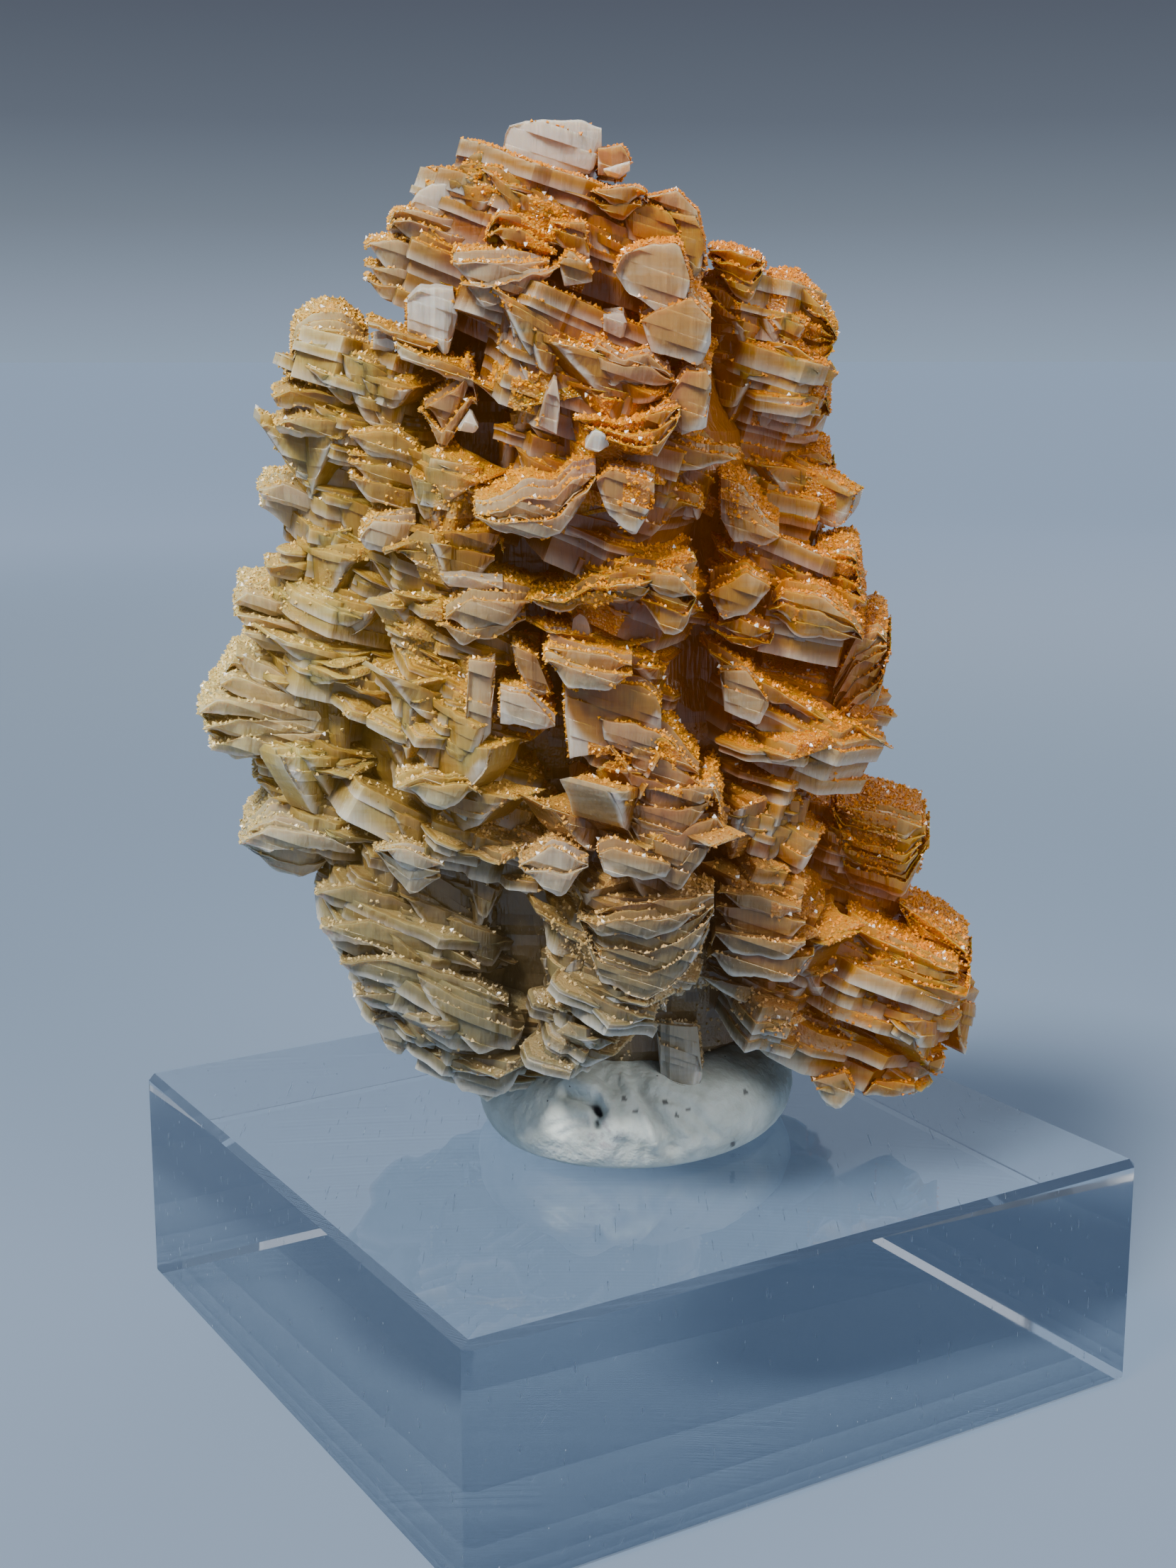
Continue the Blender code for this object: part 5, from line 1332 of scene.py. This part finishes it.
def plate_finish(places, tints):
    """Waxy translucent plates with a painted highlight along the rims, and painted shade and glow that deepen
    their own honey colour to dark amber in the hollows; streaked along the layers and striated down the
    faces."""
    finish, tree, shader = new_material("platy_crystal")
    place = placed(tree, places).outputs["Place"]
    tint = placed(tree, tints).outputs
    depth = marked(tree, "recess")
    edge = marked(tree, "rim")
    layered = moved(tree, place, Rotation=STREAK_TURN, Scale=STREAK_STRETCH)
    streaks = noise_at(tree, layered, 1.0, 4.0)
    strings = noise_at(tree, moved(tree, place, Scale=STRING_STRETCH), 1.0, 3.0)
    shift = times(tree, minus(tree, streaks, 0.5), STREAK_DEPTH)
    inward = plus(tree, minus(tree, depth, times(tree, edge, EDGE_DEPTH)), shift)
    # Painted shade: the deeper in the mass, the more the colour goes from the blade tint through honey to the
    # dark amber of the hollows.
    deep = spread(tree, inward, *HOLLOW_DEPTHS)
    color = mixed(tree, spread(tree, inward, *HONEY_DEPTHS), tint["Blade"], tint["Honey"])
    color = mixed(tree, deep, color, tint["Painted Hollow"])
    # Painted highlight: shallow places near an edge are painted in the pale tint.
    shallow = minus(tree, 1.0, depth)
    edge_highlight = maths(tree, "MULTIPLY", spread(tree, edge, *HIGHLIGHT_EDGES), shallow, clamp=True)
    color = mixed(tree, edge_highlight, color, PALE_AND_HIGHLIGHT_TINT)
    color = mixed(tree, maths(tree, "POWER", marked(tree, "pale"), PALE_POWER), color, PALE_AND_HIGHLIGHT_TINT)
    color = shaded(tree, color, strings, *STRING_SHADES)
    coat = times(tree, marked(tree, "druse"), MOST_COATED)
    color = mixed(tree, coat, color, tint["Druse"])
    relief = plus(tree, strings, times(tree, streaks, STREAK_HEIGHT))
    grit = times(tree, times(tree, cells_at(tree, place, GRITS), coat), GRIT_HEIGHT)
    # Painted glow: the deep hollows give off a faint light in their dark amber, standing in for light that
    # passes through the crystal.
    feed(shader, {"Base Color": color, "Emission Color": mixed(tree, deep, (0, 0, 0, 1), tint["Painted Hollow"]),
                  "Emission Strength": 0.09, "Roughness": mapped(tree, strings, 0.0, 1.0, *PLATE_ROUGHNESS),
                  "Normal": bump(tree, plus(tree, relief, grit), 0.6, 0.0001), "IOR": 1.6,
                  "Subsurface Weight": 0.7, "Subsurface Radius": (1.0, 0.7, 0.42),
                  "Subsurface Scale": 0.0010})
    return finish


def druse_finish(tints):
    """Micro-crystals, each a little lighter or darker than the next, a few of them painted near white as
    glints.
    """
    finish, tree, shader = new_material("orange_druse")
    tone = marked(tree, "tone")
    color = shaded(tree, placed(tree, tints).outputs["Druse"], tone, *TONE_SHADES)
    # Painted glints: the few grains with the highest tones are painted near white.
    color = mixed(tree, spread(tree, tone, *PAINTED_GLINT_TONES), color, PAINTED_GLINT)
    feed(shader, {"Base Color": color, "Roughness": 0.3, "IOR": 1.5, "Subsurface Weight": 0.0})
    return finish


# Micro-crystals

def druse_tree():
    """Geometry nodes that stand small crystals on the faces marked as druse, where they aren't buried."""
    tree = bpy.data.node_groups.new("grow_druse", "GeometryNodeTree")
    for name, kind in (("Geometry", "Geometry"), ("Density", "Float"), ("Grain Size", "Float"),
                       ("Seed", "Int"), ("Finish", "Material")):
        tree.interface.new_socket(name, in_out="INPUT", socket_type="NodeSocket" + kind)
    tree.interface.new_socket("Geometry", in_out="OUTPUT", socket_type="NodeSocketGeometry")
    entry = tree.nodes.new("NodeGroupInput").outputs
    out = tree.nodes.new("NodeGroupOutput")

    def stored(name):
        return node(tree, "GeometryNodeInputNamedAttribute", {"Name": name}, data_type="FLOAT").outputs[0]

    def chance_of(output, values, **settings):
        sockets = {**values, "Seed": entry["Seed"]}
        return node(tree, "FunctionNodeRandomValue", sockets, **settings).outputs[output]

    bare = spread(tree, stored("recess"), *BURIED_DEPTHS)
    share = times(tree, stored("druse"), minus(tree, 1.0, bare))
    density = times(tree, share, entry["Density"])
    points = node(tree, "GeometryNodeDistributePointsOnFaces",
                  {"Mesh": entry["Geometry"], "Density": density, "Seed": entry["Seed"]}).outputs
    radius = times(tree, entry["Grain Size"], GRAIN_RADIUS)
    height = times(tree, entry["Grain Size"], GRAIN_HEIGHT)
    grain = node(tree, "GeometryNodeMeshCone", {"Vertices": 4, "Radius Top": 0.0, "Radius Bottom": radius,
                                                "Depth": height}).outputs["Mesh"]
    tilt = chance_of(0, {"Min": (-GRAIN_TILT, -GRAIN_TILT, 0.0), "Max": (GRAIN_TILT, GRAIN_TILT, 6.28)},
                     data_type="FLOAT_VECTOR")
    scale = chance_of(1, {2: GRAIN_SIZES[0], 3: GRAIN_SIZES[1]})
    turned = node(tree, "FunctionNodeRotateEuler", {"Rotation": points["Rotation"], "Rotate By": tilt},
                  space="LOCAL").outputs[0]
    copies = node(tree, "GeometryNodeInstanceOnPoints",
                  {"Points": points["Points"], "Instance": grain, "Rotation": turned,
                   "Scale": scale}).outputs[0]
    toned = node(tree, "GeometryNodeStoreNamedAttribute",
                 {"Geometry": copies, "Name": "tone", "Value": chance_of(1, {})},
                 data_type="FLOAT", domain="INSTANCE").outputs[0]
    real = node(tree, "GeometryNodeRealizeInstances", {0: toned}).outputs[0]
    finished = node(tree, "GeometryNodeSetMaterial", {"Geometry": real, "Material": entry["Finish"]})
    feed(out, {"Geometry": finished.outputs[0]})
    return tree


def druse_on(piece, tree, seed, finish):
    """The micro-crystals of one piece, as a mesh of their own."""
    density = GRAINS_PER_MM2 * (BACK_GRAINS if piece.name.startswith("back") else 1.0)
    grower = piece.modifiers.new("druse", "NODES")
    grower.node_group = tree
    sockets = {item.name: item.identifier for item in tree.interface.items_tree if item.in_out == "INPUT"}
    grower[sockets["Density"]] = density / MM ** 2
    grower[sockets["Grain Size"]] = GRAIN_SIZE * MM
    grower[sockets["Seed"]] = seed
    grower[sockets["Finish"]] = finish
    mesh = evaluated_mesh(piece)
    piece.modifiers.clear()
    return add_object(piece.name + "_druse", mesh)


# The putty

def putty_tube():
    """The roll of putty, finely meshed, with its underside flat on the block."""
    curve = bpy.data.curves.new("putty_route", "CURVE")
    curve.dimensions = "3D"
    curve.resolution_u = 36
    curve.bevel_depth = 1
    curve.bevel_resolution = 32
    curve.use_fill_caps = True
    spline = curve.splines.new("NURBS")
    spline.points.add(len(PUTTY_PATH) - 1)
    spline.order_u = 4
    spline.use_endpoint_u = True
    for point, (x, y, radius) in zip(spline.points, PUTTY_PATH):
        point.co = (x, y, 0, 1)
        point.radius = radius
    route = add_object("putty_route", curve)
    tube = evaluated_mesh(route)
    bpy.data.objects.remove(route)
    bm = bmesh.new()
    bm.from_mesh(tube)
    bmesh.ops.remove_doubles(bm, verts=bm.verts, dist=0.001)
    bmesh.ops.subdivide_edges(bm, edges=bm.edges, cuts=1, use_grid_fill=True, smooth=0.6)
    for vertex in bm.verts:
        vertex.co.z = max(vertex.co.z * PUTTY_SQUASH + PUTTY_MIDDLE, GAP)
    return bm


# Creases in the putty, each with its depth and half width in millimetres and its line in pixels of the
# photograph. A negative depth is a ridge.
CREASES = [
    (0.70, 0.26, [(798, 1541), (818, 1549), (838, 1558), (846, 1570)]),
    (-0.55, 0.60, [(806, 1530), (836, 1540), (862, 1558), (874, 1590)]),
    (0.50, 0.24, [(841, 1556), (842, 1562)]),
    (0.55, 0.15, [(840, 1582), (842, 1588)]),
    (0.26, 0.42, [(853, 1519), (866, 1545), (878, 1590), (880, 1640)]),
    (0.30, 0.45, [(889, 1515), (905, 1545), (930, 1585), (946, 1622)]),
    (0.16, 0.22, [(870, 1521), (892, 1556), (909, 1602), (910, 1646)]),
    (0.22, 0.34, [(907, 1530), (935, 1575), (958, 1612), (957, 1646)]),
    (0.22, 0.30, [(960, 1570), (985, 1600), (995, 1612), (994, 1640)]),
    (-0.25, 0.35, [(880, 1519), (898, 1560), (926, 1612)]),
    (0.26, 0.28, [(926, 1540), (975, 1562), (1010, 1600)]),
    (0.15, 0.14, [(775, 1590), (800, 1580), (835, 1576)]),
    (0.14, 0.12, [(790, 1602), (808, 1592), (828, 1588)]),
]
SPECKS = [(880, 1550), (940, 1552), (956, 1573), (973, 1563), (1052, 1541), (896, 1568), (1034, 1614)]
SPECK_SIZE = 0.13
NEAR_SHARE = 0.6  # of a crease, where the putty faces sideways, and how soon it changes from there
NEAR_BLEND = 3
LUMPS = [(0.45, 0.22), (1.3, 0.07), (3.6, 0.03)]  # how many to a millimetre, and how high
STAIN = (-0.9, -9.6, 2.2)  # the middle of a purple stain, in the view's frame
STAIN_TINT = (0.24, 0.18, 0.22, 1)
# The painted shade in the creases.
CREASE_SHADE_TINT = (0.06, 0.055, 0.06, 1)
SPECK_TINT = (0.05, 0.045, 0.05, 1)
PUTTY_TINTS = [(0.3, (0.40, 0.44, 0.41)), (0.55, (0.52, 0.57, 0.54)), (0.8, (0.60, 0.65, 0.62))]


def pixels_of(points):
    """Where points of the view's frame show in the photograph."""
    away = points - np.array(VIEWPOINT)
    cos_pitch = math.cos(VIEW_PITCH)
    sin_pitch = math.sin(VIEW_PITCH)
    ahead = away[:, 1] * cos_pitch - away[:, 2] * sin_pitch
    up = away[:, 1] * sin_pitch + away[:, 2] * cos_pitch
    return np.column_stack([PHOTO_WIDTH / 2 + FOCAL_PIXELS * away[:, 0] / ahead,
                            PHOTO_HEIGHT / 2 - FOCAL_PIXELS * up / ahead])


def distance_to(line, places):
    """How far each place is from a line of corners."""
    nearest = np.full(len(places), np.inf)
    for a, b in zip(line, line[1:]):
        a = np.array(a, float)
        along = np.array(b, float) - a
        share = np.clip((places - a) @ along / (along @ along), 0, 1)
        nearest = np.minimum(nearest, np.linalg.norm(places - a - share[:, None] * along, axis=1))
    return nearest


def make_putty(finish):
    """The roll with its creases pressed in on the side that shows, and its surface a little lumpy."""
    bm = putty_tube()
    bm.normal_update()
    points = np.array([vertex.co for vertex in bm.verts])
    normals = np.array([vertex.normal for vertex in bm.verts])
    shown = pixels_of(points)
    pixels = FOCAL_PIXELS / (points[:, 1] - VIEWPOINT.y)
    near = np.clip(-normals[:, 1] * NEAR_BLEND + NEAR_SHARE, 0, 1)
    inward = np.zeros(len(points))
    for deep, wide, line in CREASES:
        inward += deep * np.exp(-(distance_to(line, shown) / pixels / wide) ** 2)
    inward *= near
    specked = np.zeros(len(points))
    for column, row in SPECKS:
        far_off = np.hypot(shown[:, 0] - column, shown[:, 1] - row) / pixels
        specked = np.maximum(specked, near * (far_off < SPECK_SIZE))
    for k, vertex in enumerate(bm.verts):
        lump = sum(noise.noise(vertex.co * many) * high for many, high in LUMPS)
        room = min(1, max(0, vertex.co.z - GAP))
        vertex.co += vertex.normal * (lump - inward[k]) * room
    bm.transform(to_block_frame())
    bmesh.ops.recalc_face_normals(bm, faces=bm.faces)
    mesh = bpy.data.meshes.new("creased_putty")
    bm.to_mesh(mesh)
    bm.free()
    mesh.shade_smooth()
    mark(mesh, "crease", inward)
    mark(mesh, "speck", specked)
    mesh.materials.append(finish)
    return add_object("creased_putty", mesh)


def putty_finish(places):
    """Matt grey-green putty with painted shade in its creases, fine wrinkles and specks."""
    finish, tree, shader = new_material("grey_putty")
    place = placed(tree, places).outputs["Place"]
    color = ramp(tree, noise_at(tree, place, 0.8, 5.0), PUTTY_TINTS)
    stain = node(tree, "ShaderNodeVectorMath", {0: place, 1: STAIN}, operation="DISTANCE").outputs["Value"]
    fibres = spread(tree, noise_at(tree, place, 2.6, 6.0), 0.46, 0.62)
    purple = times(tree, spread(tree, stain, 1.9, 0.3), fibres)
    color = mixed(tree, times(tree, purple, 0.6), color, STAIN_TINT)
    # Painted shade: the deeper a crease, the darker it is painted.
    color = mixed(tree, spread(tree, marked(tree, "crease"), 0.26, 0.70), color, CREASE_SHADE_TINT)
    dots = spread(tree, cells_at(tree, place, 1.1), 0.07, 0.04)
    dark = maths(tree, "MAXIMUM", marked(tree, "speck"), dots)
    color = mixed(tree, times(tree, dark, 0.8), color, SPECK_TINT)
    wrinkles = noise_at(tree, place, 3.5, 8.0)
    feed(shader, {"Base Color": color, "Normal": bump(tree, wrinkles, 0.35, 0.00025), "Roughness": 0.7,
                  "Subsurface Weight": 0.05, "Subsurface Scale": 0.0005})
    return finish


# The block

SCRATCHES = ((0.5, 0.76), (-0.9, 0.78), (1.9, 0.77))  # the turn of each set, and how rare they are
SCRATCH_STRETCH = (9.0, 0.22, 1.0)


def acrylic_finish(places):
    """Clear polished acrylic with fine scratches."""
    finish, tree, shader = new_material("clear_acrylic")
    place = placed(tree, places).outputs["Place"]
    lines = 0.0
    for turn, rarity in SCRATCHES:
        along = moved(tree, place, Rotation=(0, 0, turn), Location=(turn * 9, rarity * 50, 0),
                      Scale=SCRATCH_STRETCH)
        marks = spread(tree, noise_at(tree, along, 1.0, 1.0), rarity, rarity + 0.03)
        lines = plus(tree, marks, lines)
    smear = times(tree, spread(tree, noise_at(tree, place, 0.12, 5.0), 0.45, 0.75), 0.10)
    rough = plus(tree, smear, times(tree, lines, 0.3))
    feed(shader, {"Base Color": (0.86, 0.90, 0.94, 1), "Roughness": rough, "Transmission Weight": 1.0,
                  "Normal": bump(tree, lines, 0.5, 0.00005), "IOR": 1.49})
    path = node(tree, "ShaderNodeLightPath").outputs
    passing = maths(tree, "MAXIMUM", path["Is Shadow Ray"], path["Is Diffuse Ray"])
    clear = node(tree, "ShaderNodeBsdfTransparent", {"Color": (0.93, 0.96, 0.98, 1)})
    lit = node(tree, "ShaderNodeMixShader", {0: passing, 1: shader.outputs[0], 2: clear.outputs[0]})
    feed(tree.nodes["Material Output"], {"Surface": lit.outputs[0]})
    return finish


# Surroundings

FLOOR_SIZE = 60.0
FLOOR_COLOR = (0.66, 0.80, 0.97, 1)
# Painted shade: the floor is painted darker near the block, where the lamps' light falls, to offset that pool
# of light.
NEAR_FLOOR_SHADE = (0.16, 0.21, 0.285, 1)  # where the lights fall on it
FLOOR_CHANGE = (0.08, 0.545)  # metres from the block
# The sky by height. The first is what the far floor looks like under it, so the two meet unseen.
SKY = [(0.0, (0.305, 0.393, 0.524)), (0.05, (0.275, 0.345, 0.455)), (0.16, (0.185, 0.225, 0.285)),
       (0.27, (0.125, 0.15, 0.195)), (0.42, (0.09, 0.105, 0.14)), (1.0, (0.494, 0.538, 0.62))]
SKY_TOP = 0.4
LIGHT_SPREAD = math.radians(40)
LIT_POINT = Vector((0, 0, 0.035))  # the middle of the specimen
# Lights, as place in metres in the view's frame, size, power and colour
LIGHTS = {"key_light": ((-0.30, -0.36, 0.60), 0.17, 0.58, (1, 0.98, 0.94)),
          "fill_light": ((0.46, -0.50, 0.36), 0.45, 0.27, (1, 0.97, 0.92)),
          "back_light": ((0.20, 0.36, 0.75), 0.40, 0.08, (1, 1, 1))}


def make_floor():
    bpy.ops.mesh.primitive_plane_add(size=FLOOR_SIZE, location=(0, 0, 0))
    floor = bpy.context.object
    floor.name = "floor"
    finish, tree, shader = new_material("pale_floor")
    away = node(tree, "ShaderNodeVectorMath", {0: object_place(tree)}, operation="LENGTH").outputs["Value"]
    # Painted shade near the block, fading to the far floor's colour.
    color = mixed(tree, spread(tree, away, *FLOOR_CHANGE), NEAR_FLOOR_SHADE, FLOOR_COLOR)
    feed(shader, {"Base Color": color, "Roughness": 0.8, "Specular IOR Level": 0.0})
    floor.data.materials.append(finish)


def make_light(name, place, size, power, color):
    """A soft square light that faces the middle of the specimen."""
    lamp = bpy.data.lights.new(name, "AREA")
    lamp.size = size
    lamp.spread = LIGHT_SPREAD
    lamp.energy = power
    lamp.color = color
    light = add_object(name, lamp)
    light.location = Matrix.Rotation(-BLOCK_TURN, 3, "Z") @ Vector(place)
    light.rotation_euler = (LIT_POINT - light.location).to_track_quat("-Z", "Y").to_euler()


def make_sky():
    world = bpy.data.worlds.new("pale_surroundings")
    bpy.context.scene.world = world
    world.use_nodes = True
    tree = world.node_tree
    way = node(tree, "ShaderNodeTexCoord").outputs["Generated"]
    upward = node(tree, "ShaderNodeSeparateXYZ", {0: way}).outputs["Z"]
    color = ramp(tree, mapped(tree, upward, 0.0, SKY_TOP), SKY)
    feed(tree.nodes["Background"], {"Color": color})


def make_camera():
    camera = bpy.data.cameras.new("view_camera")
    camera.sensor_width = SENSOR_WIDTH
    camera.sensor_fit = "VERTICAL"
    camera.sensor_height = SENSOR_WIDTH
    camera.lens = FOCAL_PIXELS / PHOTO_HEIGHT * SENSOR_WIDTH
    camera.clip_start = 0.001
    viewer = add_object("view_camera", camera)
    viewer.location = to_block_frame() @ VIEWPOINT
    viewer.rotation_euler = (math.pi / 2 - VIEW_PITCH, 0, -BLOCK_TURN)
    bpy.context.scene.camera = viewer


def settle(piece, replaced):
    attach(piece, "root")
    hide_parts(replaced)


def main():
    make_camera()
    make_floor()
    for name, light in LIGHTS.items():
        make_light(name, *light)
    make_sky()
    places = specimen_places()
    tints = specimen_tints(places)
    plates = plate_finish(places, tints)
    druse = druse_finish(tints)
    detail = random.Random(DETAIL_SEED)
    grown = {CORE_NAME: [core_shell(detail)]}
    for name, shells in grow_columns(random.Random(GROWTH_SEED), detail).items():
        grown[name + "_plates"] = shells
    for name, shells in grow_crystals(detail).items():
        grown[name + "_crystals"] = shells
    grid = mass_grid([shell for shells in grown.values() for shell in shells])
    patches = patch_grid(np.random.default_rng(PATCH_SEED))
    tree = druse_tree()
    for seed, (name, shells) in enumerate(grown.items()):
        piece = piece_of(name, shells, grid, patches, plates)
        settle(piece, "crystal_cluster")
        coat = druse_on(piece, tree, seed, druse)
        settle(coat, "crystal_cluster")
    putty = make_putty(putty_finish(places))
    settle(putty, "mounting_putty")
    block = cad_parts["acrylic_block"]
    block.data.materials.clear()
    block.data.materials.append(acrylic_finish(places))


main()
bpy.context.view_layer.update()
